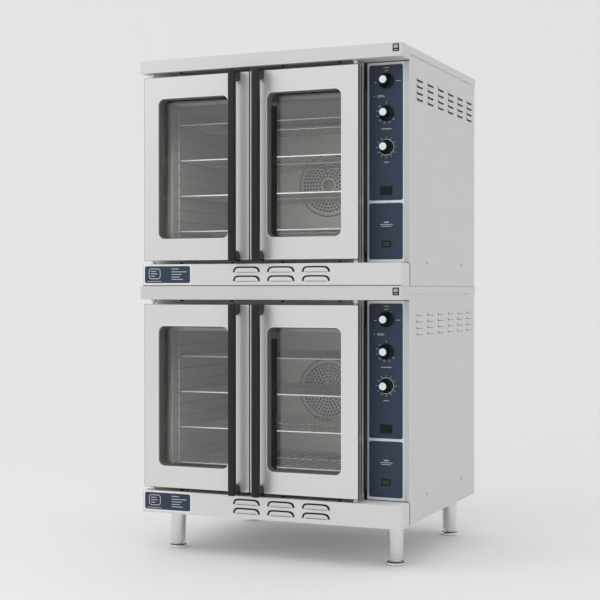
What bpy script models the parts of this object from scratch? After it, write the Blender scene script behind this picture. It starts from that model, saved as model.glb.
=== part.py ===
"""A double-stack electric convection oven: two equal decks, one on the other, on four round legs.

A deck is built in its own frame: X to the right, Y back from the front face of its top cover,
Z up from its base. The oven's origin is on the floor, below the middle of its bounding box.
"""

import math

import bmesh
import bpy
from mathutils import Matrix, Vector

# Overall sizes, in metres
WIDTH = 0.965
BODY_DEPTH = 0.868
DECK_HEIGHT = 0.790
LEG_HEIGHT = 0.144
HANDLE_PROUD = 0.056
SHEET = 0.0015
GAP = 0.0003
HALF_WIDTH = WIDTH / 2
FRONT_Y = HANDLE_PROUD - (BODY_DEPTH + HANDLE_PROUD) / 2

# Top cover and base: both stand forward of the body as a hollow nose
NOSE_DEPTH = 0.0855
COVER_HEIGHT = 0.0455
COVER_FLANGE = 0.026
COVER_TOP = DECK_HEIGHT - GAP
COVER_BOTTOM = DECK_HEIGHT - COVER_HEIGHT
TRIM_HEIGHT = 0.0765
TRIM_LEFT = 0.009 - HALF_WIDTH
PAN_WALL = 0.040

# Body shell
FACE_Y = NOSE_DEPTH + GAP
SIDE_X = HALF_WIDTH - SHEET - GAP
SIDE_RETURN = 0.0165
SHELL_TOP = DECK_HEIGHT - 0.012
REAR_Y = BODY_DEPTH - SHEET - GAP
PANEL_LEFT = 0.334

# Cavity
CAVITY_WIDTH = 0.737
CAVITY_X = -0.060
CAVITY_BOTTOM = 0.132
CAVITY_TOP = 0.635
CAVITY_BACK = 0.790
CAVITY_LEFT = CAVITY_X - CAVITY_WIDTH / 2
CAVITY_RIGHT = CAVITY_X + CAVITY_WIDTH / 2

# Doors
DOOR_LEFT = -0.466
DOOR_RIGHT = 0.333
DOOR_SPLIT = -0.0595
DOOR_CLEARANCE = 0.002
DOOR_BOTTOM = 0.090
DOOR_TOP = 0.727
DOOR_DEPTH = 0.057
HINGE_INSET = 0.020
HINGE_Y = 0.030
PIN_RADIUS = 0.004
PIN_LENGTH = 0.0235
PIN_HOLE = 0.0052

# Windows
WINDOW_WIDTH = 0.267
WINDOW_BOTTOM = 0.166
WINDOW_TOP = 0.651
WINDOW_RADIUS = 0.022
WINDOW_CENTRES = {"left": -0.274, "right": 0.142}
GLASS_FRONT = 0.024
GLASS_BACK = 0.053
PANE = 0.005
POCKET = 0.006
INNER_LIP = 0.015
GLASS_CLEARANCE = 0.0006
SPACER = 0.010

# Handles
HANDLE_OFFSET = 0.0445
HANDLE_WIDTH = 0.022
HANDLE_THICKNESS = 0.018
HANDLE_BOTTOM = 0.0832
HANDLE_TOP = 0.7295
FOOT_HEIGHT = 0.036
FOOT_TIP = 0.016
FOOT_FLAT = 0.015
HANDLE_ROUND = 0.006

# Controls
CONTROL_X = 0.401
KNOB_HEIGHTS = {"selector_knob": 0.680, "thermostat_knob": 0.573, "timer_knob": 0.460}
SHAFT_RADIUS = 0.003
SHAFT_HOLE = 0.0045
ROCKER_Z = 0.3162
ROCKER_SIZE = Vector((0.036, 0.010, 0.024))
ROCKER_PROUD = 0.004
ROCKER_CLEARANCE = 0.0015
LAMP_Z = 0.1395
LAMP_SIZE = Vector((0.029, 0.003, 0.018))

# Louvres
LOUVRE_PROUD = 0.0035
LOUVRE_SLOT = 0.004
SIDE_LOUVRE_WIDTH = 0.070
SIDE_LOUVRE_HEIGHT = 0.0115
SIDE_LOUVRE_COLUMNS = 6
SIDE_LOUVRE_ROWS = 4
SIDE_LOUVRE_FIRST_Y = 0.196
SIDE_LOUVRE_PITCH_Y = 0.119
SIDE_LOUVRE_TOP_Z = 0.702
SIDE_LOUVRE_PITCH_Z = 0.0212
TRIM_LOUVRE_WIDTH = 0.100
TRIM_LOUVRE_HEIGHT = 0.013
TRIM_LOUVRE_COLUMNS = 3
TRIM_LOUVRE_FIRST_X = -0.075
TRIM_LOUVRE_PITCH_X = 0.1275
TRIM_LOUVRE_FEET_Z = (0.021, 0.052)
REAR_SLOTS = 8
REAR_SLOT_SIZE = Vector((0.012, 0.080))
REAR_SLOT_PITCH = 0.030
REAR_SLOT_ROWS_Z = (0.10, 0.62)

# Racks and their guides
RACK_SLOTS = 11
SLOT_PITCH = 0.0427
SLOTS_BETWEEN_RACKS = 3
TOP_SLOT_Z = 0.582
RACKS = 4
RACK_THICKNESS = 0.005
RACK_SIDE_GAP = 0.0065
RACK_FRONT = 0.185
RACK_BACK = 0.700
RACK_RIM = 0.008
RACK_BAR = 0.004
RACK_OPENINGS_X = 8
RACK_OPENINGS_Y = 2
GUIDE_ROD = 0.005
GUIDE_WALL_GAP = 0.0007
GUIDE_POSTS_Y = (0.160, 0.690)
GUIDE_RAIL_FRONT = 0.155
GUIDE_RAIL_BACK = 0.701

# Fan, heater and baffle
FAN_Z = 0.392
FAN_Y = 0.772
FAN_RADIUS = 0.170
FAN_DEPTH = 0.037
FAN_PLATE = 0.002
FAN_HUB = 0.025
FAN_SHAFT = 0.006
FAN_BLADES = 12
BLADE_INNER = 0.100
SHAFT_LENGTH = 0.0205
BAFFLE_Y = 0.722
BAFFLE_HALF_WIDTH = 0.315
BAFFLE_EDGE_GAP = 0.008
BAFFLE_SLOTS = 12
BAFFLE_SLOT_RADII = (0.036, 0.104)
BAFFLE_SLOT_WIDTH = 0.014
HEATER_Y = 0.752
HEATER_RADIUS = 0.205
HEATER_TUBE = 0.0045
HEATER_POINTS = 26
HEATER_OPENING = math.radians(12)
MOTOR_Y = 0.7935
MOTOR_RADIUS = 0.070
MOTOR_LENGTH = 0.066
MOTOR_CHAMFER = 0.008

# Legs
LEG_X = 0.412
LEG_FRONT_Y = 0.150
LEG_BACK_Y = 0.768

TURN_STEPS = 20
HOLE_SIDES = 12
CORNER_SEGMENTS = 4

DECKS = {"lower": LEG_HEIGHT, "upper": LEG_HEIGHT + DECK_HEIGHT}
SLOTS_LOWERED = {"lower": 1, "upper": 0}

COLOURS = {
    "stainless": ((0.68, 0.68, 0.67), 0.32, 1.0),
    "cavity_steel": ((0.30, 0.30, 0.29), 0.45, 1.0),
    "chrome_wire": ((0.78, 0.78, 0.78), 0.15, 1.0),
    "window_glass": ((0.60, 0.62, 0.61), 0.05, 0.0),
    "handle_black": ((0.03, 0.03, 0.03), 0.45, 0.0),
    "knob_black": ((0.012, 0.012, 0.014), 0.25, 0.0),
    "panel_blue": ((0.05, 0.07, 0.12), 0.40, 0.0),
    "fan_steel": ((0.55, 0.55, 0.55), 0.40, 1.0),
    "motor_grey": ((0.20, 0.21, 0.22), 0.50, 0.0),
    "heater_dark": ((0.10, 0.09, 0.08), 0.60, 1.0),
}


def clear_scene():
    for obj in list(bpy.data.objects):
        bpy.data.objects.remove(obj)


def new_collection(name):
    collection = bpy.data.collections.new(name)
    bpy.context.scene.collection.children.link(collection)
    return collection


def new_material(name, colour, roughness, metallic):
    material = bpy.data.materials.new(name)
    material.use_nodes = True
    shader = material.node_tree.nodes["Principled BSDF"]
    shader.inputs["Base Color"].default_value = (*colour, 1)
    shader.inputs["Roughness"].default_value = roughness
    shader.inputs["Metallic"].default_value = metallic
    return material


def new_empty(name, parent=None, location=(0, 0, 0)):
    empty = bpy.data.objects.new(name, None)
    empty.parent = parent
    empty.location = location
    PARTS.objects.link(empty)
    return empty


def new_part(name, data, material, parent, location=(0, 0, 0), rotation=(0, 0, 0)):
    part = bpy.data.objects.new(name, data)
    data.materials.append(MATERIALS[material])
    part.parent = parent
    part.location = location
    part.rotation_euler = rotation
    PARTS.objects.link(part)
    return part


def mesh_from(bm, name):
    mesh = bpy.data.meshes.new(name)
    bm.to_mesh(mesh)
    bm.free()
    return mesh


def boxes_mesh(name, *boxes):
    """Separate boxes, each given by its lowest and highest corner."""
    bm = bmesh.new()
    for low, high in boxes:
        low, high = Vector(low), Vector(high)
        bmesh.ops.create_cube(bm, size=1, matrix=Matrix.LocRotScale((low + high) / 2, None, high - low))
    return mesh_from(bm, name)


def rounded_mesh(name, low, high, radius):
    """A box whose four edges along Y are rounded."""
    low, high = Vector(low), Vector(high)
    bm = bmesh.new()
    bmesh.ops.create_cube(bm, size=1, matrix=Matrix.LocRotScale((low + high) / 2, None, high - low))
    along_y = [e for e in bm.edges if abs(e.verts[0].co.y - e.verts[1].co.y) > radius / 100]
    bmesh.ops.bevel(
        bm, geom=along_y, offset=radius, segments=CORNER_SEGMENTS, profile=0.5, affect="EDGES"
    )
    return mesh_from(bm, name)


def ring_mesh(name, count, low, high, turn_about, centre=(0, 0, 0)):
    """Copies of a box, turned in equal steps about an axis through centre."""
    low, high, centre = Vector(low), Vector(high), Vector(centre)
    bm = bmesh.new()
    for i in range(count):
        turn = Matrix.Rotation(math.tau * i / count, 4, turn_about)
        place = Matrix.LocRotScale((low + high) / 2, None, high - low)
        bmesh.ops.create_cube(bm, size=1, matrix=Matrix.Translation(centre) @ turn @ place)
    return mesh_from(bm, name)


def rods_mesh(name, axis, radius, *spans):
    """Round rods along X, Y or Z, each given by its middle and its length."""
    bm = bmesh.new()
    turn = Vector((0, 0, 1)).rotation_difference(Vector(axis)).to_matrix().to_4x4()
    for middle, length in spans:
        bmesh.ops.create_cone(
            bm,
            cap_ends=True,
            segments=HOLE_SIDES,
            radius1=radius,
            radius2=radius,
            depth=length,
            matrix=Matrix.Translation(middle) @ turn,
        )
    return mesh_from(bm, name)


def louvre_mesh(name, hoods, out, rise):
    """Wedge hoods. Each is a box of which the edge at the far end of rise is pushed back along out."""
    out, rise = Vector(out), Vector(rise)
    bm = bmesh.new()
    for low, high in hoods:
        low, high = Vector(low), Vector(high)
        middle = (low + high) / 2
        place = Matrix.LocRotScale(middle, None, high - low)
        for vert in bmesh.ops.create_cube(bm, size=1, matrix=place)["verts"]:
            if (vert.co - middle).dot(out) > 0 and (vert.co - middle).dot(rise) > 0:
                vert.co -= out * (LOUVRE_PROUD - GAP)
    return mesh_from(bm, name)


def combine(part, mesh, operation):
    """Adds a Boolean with mesh, which is in the part's own coordinates, and returns the helper object."""
    tool = bpy.data.objects.new(f"{part.name}_{operation.lower()}_{len(part.modifiers)}", mesh)
    tool.parent = part.parent
    tool.location = part.location
    tool.rotation_euler = part.rotation_euler
    tool.hide_render = True
    tool.display_type = "WIRE"
    CUTTERS.objects.link(tool)
    boolean = part.modifiers.new(operation.title(), "BOOLEAN")
    boolean.operation = operation
    boolean.object = tool
    return tool


def cut(part, *boxes):
    return combine(part, boxes_mesh(f"{part.name}_cut", *boxes), "DIFFERENCE")


def turned_part(name, profile, material, parent, location, rotation=(0, 0, 0)):
    """A profile of (radius, height) points, from the top of the axis down to its foot, turned about Z."""
    mesh = bpy.data.meshes.new(name)
    points = [(radius, 0, height) for radius, height in profile]
    mesh.from_pydata(points, [(i, i + 1) for i in range(len(points) - 1)], [])
    part = new_part(name, mesh, material, parent, location, rotation)
    screw = part.modifiers.new("Turn", "SCREW")
    screw.steps = TURN_STEPS
    screw.render_steps = TURN_STEPS
    screw.use_merge_vertices = True
    screw.merge_threshold = 0.00005
    screw.use_smooth_shade = True
    return part


def pin_places(*levels):
    """The hinge pins' points at these heights, left then right."""
    xs = (DOOR_LEFT + HINGE_INSET, DOOR_RIGHT - HINGE_INSET)
    return [Vector((x, HINGE_Y, z)) for z in levels for x in xs]


def top_cover(deck):
    """A tray turned upside down, with a deep hollow nose in front and shallow flanges elsewhere."""
    cover = new_part(
        f"{deck.name}_top_cover",
        boxes_mesh("cover", ((-HALF_WIDTH, 0, COVER_BOTTOM), (HALF_WIDTH, BODY_DEPTH, COVER_TOP))),
        "stainless",
        deck,
    )
    inner_x = HALF_WIDTH - SHEET
    inner_back = BODY_DEPTH - SHEET
    cut(cover, ((-inner_x, SHEET, COVER_BOTTOM + SHEET), (inner_x, inner_back, COVER_TOP - SHEET)))
    cut(cover, ((-1, NOSE_DEPTH, 0), (1, 1, DECK_HEIGHT - COVER_FLANGE)))
    holes = [(p, PIN_LENGTH) for p in pin_places(COVER_BOTTOM)]
    combine(cover, rods_mesh("pin_holes", (0, 0, 1), PIN_HOLE, *holes), "DIFFERENCE")


def base_pan(deck):
    """The deck's floor pan and its louvred front trim, which stands forward like the cover."""
    pan_x = SIDE_X - SHEET - GAP
    pan_back = REAR_Y - SHEET - GAP
    pan = new_part(
        f"{deck.name}_base_pan",
        boxes_mesh("trim", ((TRIM_LEFT, 0, 0), (HALF_WIDTH, NOSE_DEPTH, TRIM_HEIGHT))),
        "stainless",
        deck,
    )
    tray = boxes_mesh("tray", ((-pan_x, NOSE_DEPTH - SHEET, 0), (pan_x, pan_back, PAN_WALL)))
    combine(pan, tray, "UNION")
    inside_low = Vector((TRIM_LEFT + SHEET, SHEET, SHEET))
    cut(pan, (inside_low, (HALF_WIDTH - SHEET, NOSE_DEPTH - 2 * SHEET, TRIM_HEIGHT - SHEET)))
    tray_low = (SHEET - pan_x, NOSE_DEPTH - 3 * SHEET, SHEET)
    cut(pan, (tray_low, (pan_x - SHEET, pan_back - SHEET, TRIM_HEIGHT - SHEET)))
    hoods, slots = [], []
    for column in range(TRIM_LOUVRE_COLUMNS):
        middle = TRIM_LOUVRE_FIRST_X + column * TRIM_LOUVRE_PITCH_X
        left, right = middle - TRIM_LOUVRE_WIDTH / 2, middle + TRIM_LOUVRE_WIDTH / 2
        for foot in TRIM_LOUVRE_FEET_Z:
            lip = foot + TRIM_LOUVRE_HEIGHT
            hoods.append(((left, GAP - LOUVRE_PROUD, foot), (right, SHEET / 2, lip)))
            slots.append(((left, -LOUVRE_PROUD, lip), (right, 2 * SHEET, lip + LOUVRE_SLOT)))
    combine(pan, louvre_mesh("trim_hoods", hoods, (0, -1, 0), (0, 0, -1)), "UNION")
    cut(pan, *slots)
    holes = [(p, PIN_LENGTH) for p in pin_places(TRIM_HEIGHT)]
    combine(pan, rods_mesh("pin_holes", (0, 0, 1), PIN_HOLE, *holes), "DIFFERENCE")


def side_panel(deck, side, sign):
    """A side sheet with a return along its front edge. Only the right one has louvres."""
    outer, inner = sign * SIDE_X, sign * (SIDE_X - SIDE_RETURN)
    low = (min(outer, inner), FACE_Y, GAP)
    high = (max(outer, inner), REAR_Y, SHELL_TOP)
    panel = new_part(f"{deck.name}_side_panel_{side}", boxes_mesh("side", (low, high)), "stainless", deck)
    sheet_x = sign * (SIDE_X - SHEET)
    far_x = sign * (SIDE_X - 2 * SIDE_RETURN)
    left, right = min(sheet_x, far_x), max(sheet_x, far_x)
    cut(panel, ((left, FACE_Y + SHEET, -1), (right, 1, 1)))
    cut(panel, ((left, 0, -1), (right, 1, PAN_WALL + SHEET)))
    return panel


def side_louvres(panel):
    hoods, slots = [], []
    for column in range(SIDE_LOUVRE_COLUMNS):
        middle = SIDE_LOUVRE_FIRST_Y + column * SIDE_LOUVRE_PITCH_Y
        front, back = middle - SIDE_LOUVRE_WIDTH / 2, middle + SIDE_LOUVRE_WIDTH / 2
        for row in range(SIDE_LOUVRE_ROWS):
            lip = SIDE_LOUVRE_TOP_Z - row * SIDE_LOUVRE_PITCH_Z - SIDE_LOUVRE_HEIGHT
            proud_x = SIDE_X + LOUVRE_PROUD
            hoods.append(
                ((SIDE_X - SHEET / 2, front, lip), (proud_x - GAP, back, lip + SIDE_LOUVRE_HEIGHT))
            )
            slots.append(((SIDE_X - 2 * SHEET, front, lip - LOUVRE_SLOT), (proud_x, back, lip)))
    combine(panel, louvre_mesh("side_hoods", hoods, (1, 0, 0), (0, 0, 1)), "UNION")
    cut(panel, *slots)


def rear_panel(deck):
    inner_x = SIDE_X - SHEET - GAP
    low = (-inner_x, REAR_Y - SHEET, GAP)
    panel = new_part(
        f"{deck.name}_rear_panel",
        boxes_mesh("rear", (low, (inner_x, REAR_Y, SHELL_TOP))),
        "stainless",
        deck,
    )
    slots = []
    for i in range(REAR_SLOTS):
        x = (i - (REAR_SLOTS - 1) / 2) * REAR_SLOT_PITCH
        for z in REAR_SLOT_ROWS_Z:
            left, right = x - REAR_SLOT_SIZE.x / 2, x + REAR_SLOT_SIZE.x / 2
            slots.append(((left, 0.8, z), (right, 1, z + REAR_SLOT_SIZE.y)))
    cut(panel, *slots)


def front_frame(deck):
    """The face round the cavity's mouth, against which the doors close."""
    left, right = SIDE_RETURN - SIDE_X + GAP, PANEL_LEFT - 2 * GAP
    frame = new_part(
        f"{deck.name}_front_frame",
        boxes_mesh("face", ((left, FACE_Y, PAN_WALL + SHEET), (right, FACE_Y + SHEET, SHELL_TOP))),
        "stainless",
        deck,
    )
    cut(frame, ((CAVITY_LEFT, 0, CAVITY_BOTTOM), (CAVITY_RIGHT, 1, CAVITY_TOP)))


def cavity_liner(deck):
    """A five-sided box, open to the front, with a hole for the fan's shaft."""
    front = FACE_Y + SHEET + GAP
    low = (CAVITY_LEFT - SHEET, front, CAVITY_BOTTOM - SHEET)
    high = (CAVITY_RIGHT + SHEET, CAVITY_BACK + SHEET, CAVITY_TOP + SHEET)
    liner = new_part(f"{deck.name}_cavity_liner", boxes_mesh("liner", (low, high)), "cavity_steel", deck)
    cut(liner, ((CAVITY_LEFT, 0, CAVITY_BOTTOM), (CAVITY_RIGHT, CAVITY_BACK, CAVITY_TOP)))
    hole = ((CAVITY_X, CAVITY_BACK, FAN_Z), 4 * SHEET)
    combine(liner, rods_mesh("shaft_hole", (0, 1, 0), 2 * FAN_SHAFT, hole), "DIFFERENCE")


def control_panel(deck):
    """The sheet that carries the knobs and switches, with the lens of its pilot lamp."""
    right = SIDE_X - SIDE_RETURN - GAP
    low = (PANEL_LEFT, FACE_Y, PAN_WALL + SHEET)
    panel = new_part(
        f"{deck.name}_control_panel",
        boxes_mesh("controls", (low, (right, FACE_Y + SHEET, SHELL_TOP))),
        "panel_blue",
        deck,
    )
    shafts = [((CONTROL_X, FACE_Y, z), 4 * SHEET) for z in KNOB_HEIGHTS.values()]
    combine(panel, rods_mesh("shaft_holes", (0, 1, 0), SHAFT_HOLE, *shafts), "DIFFERENCE")
    half = ROCKER_SIZE / 2 + Vector((ROCKER_CLEARANCE, 1, ROCKER_CLEARANCE))
    middle = Vector((CONTROL_X, FACE_Y, ROCKER_Z))
    cut(panel, (middle - half, middle + half))
    lamp = Vector((CONTROL_X, FACE_Y - LAMP_SIZE.y / 2 + SHEET / 2, LAMP_Z))
    combine(panel, boxes_mesh("lamp", (lamp - LAMP_SIZE / 2, lamp + LAMP_SIZE / 2)), "UNION")


def knobs(deck):
    """A knob has a flared skirt, a tapered grip, and its shaft behind the panel."""
    profile = [
        (0, 0.038),
        (0.0150, 0.038),
        (0.0170, 0.036),
        (0.0205, 0.010),
        (0.0260, 0.006),
        (0.0260, 0.001),
        (SHAFT_RADIUS, 0.001),
        (SHAFT_RADIUS, -0.012),
        (0, -0.012),
    ]
    for knob, z in KNOB_HEIGHTS.items():
        turned_part(
            f"{deck.name}_{knob}",
            profile,
            "knob_black",
            deck,
            (CONTROL_X, FACE_Y, z),
            (math.pi / 2, 0, 0),
        )


def rocker_switch(deck):
    """The rocker turns about a vertical line just behind the panel's face."""
    low = Vector((-ROCKER_SIZE.x / 2, -ROCKER_PROUD - SHEET, -ROCKER_SIZE.z / 2))
    mesh = boxes_mesh("rocker", (low, low + ROCKER_SIZE))
    new_part(f"{deck.name}_rocker_switch", mesh, "knob_black", deck, (CONTROL_X, FACE_Y + SHEET, ROCKER_Z))


def door_span(side):
    """(outer edge, meeting edge) of a door, along X."""
    if side == "left":
        return DOOR_LEFT, DOOR_SPLIT - DOOR_CLEARANCE
    return DOOR_RIGHT, DOOR_SPLIT + DOOR_CLEARANCE


def window_box(side, grow, front, back):
    """Corners of the window opening between two depths, grown by a margin all round."""
    middle = WINDOW_CENTRES[side]
    half = WINDOW_WIDTH / 2 + grow
    low = (middle - half, front, WINDOW_BOTTOM - grow)
    return low, (middle + half, back, WINDOW_TOP + grow)


def door_shell(name, side, hinge):
    """A hollow steel door with a glazing pocket, a vent slot in its foot, and both hinge pins."""
    outer, meeting = door_span(side)
    left, right = min(outer, meeting), max(outer, meeting)
    shell = new_part(
        f"{name}_shell",
        boxes_mesh("door", ((left, 0, DOOR_BOTTOM), (right, DOOR_DEPTH, DOOR_TOP))),
        "stainless",
        hinge,
        -hinge.location,
    )
    hollow_low = (left + SHEET, SHEET, DOOR_BOTTOM + SHEET)
    hollow = cut(shell, (hollow_low, (right - SHEET, DOOR_DEPTH - SHEET, DOOR_TOP - SHEET)))
    around = window_box(side, POCKET + SHEET, -1, 1)
    combine(hollow, rounded_mesh("around_window", *around, WINDOW_RADIUS + POCKET), "DIFFERENCE")
    opening = window_box(side, 0, -1, GLASS_FRONT)
    combine(shell, rounded_mesh("opening", *opening, WINDOW_RADIUS), "DIFFERENCE")
    pocket = window_box(side, POCKET, GLASS_FRONT - GLASS_CLEARANCE, GLASS_BACK + GLASS_CLEARANCE)
    combine(shell, rounded_mesh("pocket", *pocket, WINDOW_RADIUS + POCKET), "DIFFERENCE")
    inner = window_box(side, -INNER_LIP, GLASS_BACK, 1)
    combine(shell, rounded_mesh("inner_opening", *inner, WINDOW_RADIUS), "DIFFERENCE")
    vent_x = (left + right) / 2
    cut(shell, ((vent_x - 0.04, 0.028, 0), (vent_x + 0.04, 0.036, DOOR_BOTTOM + 2 * SHEET)))
    pin_x = hinge.location.x
    reach = PIN_LENGTH / 2 - 2 * SHEET
    pins = [((pin_x, HINGE_Y, z), PIN_LENGTH) for z in (DOOR_BOTTOM - reach, DOOR_TOP + reach)]
    combine(shell, rods_mesh("pins", (0, 0, 1), PIN_RADIUS, *pins), "UNION")


def door_glass(name, side, hinge):
    """Two panes on a spacer, with a breather notch in the spacer's foot."""
    box = window_box(side, POCKET - GLASS_CLEARANCE, GLASS_FRONT, GLASS_BACK)
    glass = new_part(
        f"{name}_glass",
        rounded_mesh("glazing", *box, WINDOW_RADIUS + POCKET - GLASS_CLEARANCE),
        "window_glass",
        hinge,
        -hinge.location,
    )
    inside = window_box(side, POCKET - GLASS_CLEARANCE - SPACER, GLASS_FRONT + PANE, GLASS_BACK - PANE)
    cut(glass, inside)
    middle = (box[0][0] + box[1][0]) / 2
    notch_low = (middle - 0.01, GLASS_FRONT + 2 * PANE, 0)
    cut(glass, (notch_low, (middle + 0.01, GLASS_BACK - 2 * PANE, box[0][2] + 2 * SPACER)))


def arc(centre, radius_y, radius_z, start, end, steps):
    """Points of an elliptical arc in the YZ plane, angles in degrees from +Y towards +Z."""
    points = []
    for i in range(steps + 1):
        angle = math.radians(start + (end - start) * i / steps)
        points.append(
            (centre[0] + radius_y * math.cos(angle), centre[1] + radius_z * math.sin(angle))
        )
    return points


def handle_outline():
    """The handle's side outline as (y, z) points: a straight grip with a foot turned back at each end."""
    front, back, face = -HANDLE_PROUD, HANDLE_THICKNESS - HANDLE_PROUD, -GAP
    low_foot, high_foot = HANDLE_BOTTOM + FOOT_HEIGHT, HANDLE_TOP - FOOT_HEIGHT
    curve_start = back + FOOT_FLAT
    depth, height = face - curve_start, FOOT_HEIGHT - FOOT_TIP
    return [
        (face, HANDLE_BOTTOM),
        *arc((curve_start, low_foot - height), depth, height, 0, 90, 5),
        (back, low_foot),
        (back, high_foot),
        *arc((curve_start, high_foot + height), depth, height, -90, 0, 5),
        (face, HANDLE_TOP),
        *arc((front + HANDLE_ROUND, HANDLE_TOP - HANDLE_ROUND), HANDLE_ROUND, HANDLE_ROUND, 90, 180, 3),
        *arc((front + HANDLE_ROUND, HANDLE_BOTTOM + HANDLE_ROUND), HANDLE_ROUND, HANDLE_ROUND, 180, 270, 3),
    ]


def door_handle(name, side, hinge):
    outline = bpy.data.curves.new(f"{name}_handle", "CURVE")
    outline.dimensions = "2D"
    outline.fill_mode = "BOTH"
    outline.extrude = HANDLE_WIDTH / 2
    spline = outline.splines.new("POLY")
    points = handle_outline()
    spline.points.add(len(points) - 1)
    for point, (y, z) in zip(spline.points, points):
        point.co = (y, z, 0, 1)
    spline.use_cyclic_u = True
    x = DOOR_SPLIT - HANDLE_OFFSET if side == "left" else DOOR_SPLIT + HANDLE_OFFSET
    place = Vector((x, 0, 0)) - hinge.location
    turn = (math.pi / 2, 0, math.pi / 2)
    new_part(f"{name}_handle", outline, "handle_black", hinge, place, turn)


def door(deck, side):
    pin_x = DOOR_LEFT + HINGE_INSET if side == "left" else DOOR_RIGHT - HINGE_INSET
    name = f"{deck.name}_{side}_door"
    hinge = new_empty(f"{name}_hinge", deck, (pin_x, HINGE_Y, 0))
    door_shell(name, side, hinge)
    door_glass(name, side, hinge)
    door_handle(name, side, hinge)


def slot_height(slot):
    """The middle height of a rack in a slot, counted down from the top one."""
    return TOP_SLOT_Z - slot * SLOT_PITCH


def racks(deck):
    """Flat wire racks, each a rim with bars from front to back and one across the middle."""
    left, right = CAVITY_LEFT + RACK_SIDE_GAP, CAVITY_RIGHT - RACK_SIDE_GAP
    half = RACK_THICKNESS / 2
    width = right - left - 2 * RACK_RIM + RACK_BAR
    depth = RACK_BACK - RACK_FRONT - 2 * RACK_RIM + RACK_BAR
    pitch_x, pitch_y = width / RACK_OPENINGS_X, depth / RACK_OPENINGS_Y
    for i in range(RACKS):
        z = slot_height(SLOTS_LOWERED[deck.name] + i * SLOTS_BETWEEN_RACKS)
        rack = new_part(
            f"{deck.name}_rack_{i + 1}",
            boxes_mesh("rack", ((left, RACK_FRONT, -half), (right, RACK_BACK, half))),
            "chrome_wire",
            deck,
            (0, 0, z),
        )
        openings = []
        for column in range(RACK_OPENINGS_X):
            x = left + RACK_RIM + column * pitch_x
            for row in range(RACK_OPENINGS_Y):
                y = RACK_FRONT + RACK_RIM + row * pitch_y
                openings.append(((x, y, -1), (x + pitch_x - RACK_BAR, y + pitch_y - RACK_BAR, 1)))
        cut(rack, *openings)


def rack_guide(deck, side, wall_x, inward):
    """A ladder of rods on a cavity wall: two posts, and a rail under each rack slot."""
    post_near = wall_x + inward * GUIDE_WALL_GAP
    post_far = post_near + inward * GUIDE_ROD
    rail_near = post_far - inward * GAP
    rail_far = rail_near + inward * GUIDE_ROD
    low_z, high_z = CAVITY_BOTTOM + 2 * SHEET, CAVITY_TOP - 2 * SHEET
    posts = []
    for y in GUIDE_POSTS_Y:
        posts.append(
            ((min(post_near, post_far), y, low_z), (max(post_near, post_far), y + GUIDE_ROD, high_z))
        )
    guide = new_part(
        f"{deck.name}_rack_guide_{side}", boxes_mesh("posts", *posts), "chrome_wire", deck
    )
    rails = []
    for slot in range(RACK_SLOTS):
        top = slot_height(slot) - RACK_THICKNESS / 2 - GAP
        low = (min(rail_near, rail_far), GUIDE_RAIL_FRONT, top - GUIDE_ROD)
        rails.append((low, (max(rail_near, rail_far), GUIDE_RAIL_BACK, top)))
    combine(guide, boxes_mesh("rails", *rails), "UNION")


def fan_baffle(deck):
    """A panel in front of the fan, slotted in a ring, with flanges back to the cavity's rear wall."""
    low_z, high_z = CAVITY_BOTTOM + BAFFLE_EDGE_GAP, CAVITY_TOP - BAFFLE_EDGE_GAP
    left, right = CAVITY_X - BAFFLE_HALF_WIDTH, CAVITY_X + BAFFLE_HALF_WIDTH
    baffle = new_part(
        f"{deck.name}_fan_baffle",
        boxes_mesh("baffle", ((left, BAFFLE_Y, low_z), (right, CAVITY_BACK - GAP, high_z))),
        "cavity_steel",
        deck,
    )
    cut(baffle, ((-1, BAFFLE_Y + SHEET, low_z + SHEET), (1, 1, high_z - SHEET)))
    inner, outer = BAFFLE_SLOT_RADII
    half = BAFFLE_SLOT_WIDTH / 2
    slots = ring_mesh(
        "intake", BAFFLE_SLOTS, (inner, -0.01, -half), (outer, 0.01, half), "Y", (CAVITY_X, BAFFLE_Y, FAN_Z)
    )
    combine(baffle, slots, "DIFFERENCE")


def fan_wheel(deck):
    """A back plate with straight blades, a hub, and the shaft that runs back to the motor."""
    profile = [
        (0, FAN_DEPTH),
        (FAN_HUB, FAN_DEPTH),
        (FAN_HUB, FAN_PLATE),
        (FAN_RADIUS, FAN_PLATE),
        (FAN_RADIUS, 0),
        (FAN_SHAFT, 0),
        (FAN_SHAFT, -SHAFT_LENGTH),
        (0, -SHAFT_LENGTH),
    ]
    place = (CAVITY_X, FAN_Y, FAN_Z)
    wheel = turned_part(f"{deck.name}_fan_wheel", profile, "fan_steel", deck, place, (math.pi / 2, 0, 0))
    half = FAN_PLATE / 2
    blade_tip = FAN_RADIUS - FAN_PLATE
    blades = ring_mesh("blades", FAN_BLADES, (BLADE_INNER, -half, half), (blade_tip, half, FAN_DEPTH), "Z")
    combine(wheel, blades, "UNION")


def fan_motor(deck):
    profile = [
        (0, 0),
        (MOTOR_RADIUS - MOTOR_CHAMFER, 0),
        (MOTOR_RADIUS, -MOTOR_CHAMFER),
        (MOTOR_RADIUS, MOTOR_CHAMFER - MOTOR_LENGTH),
        (MOTOR_RADIUS - MOTOR_CHAMFER, -MOTOR_LENGTH),
        (0, -MOTOR_LENGTH),
    ]
    place = (CAVITY_X, MOTOR_Y, FAN_Z)
    turned_part(f"{deck.name}_fan_motor", profile, "motor_grey", deck, place, (math.pi / 2, 0, 0))


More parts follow.
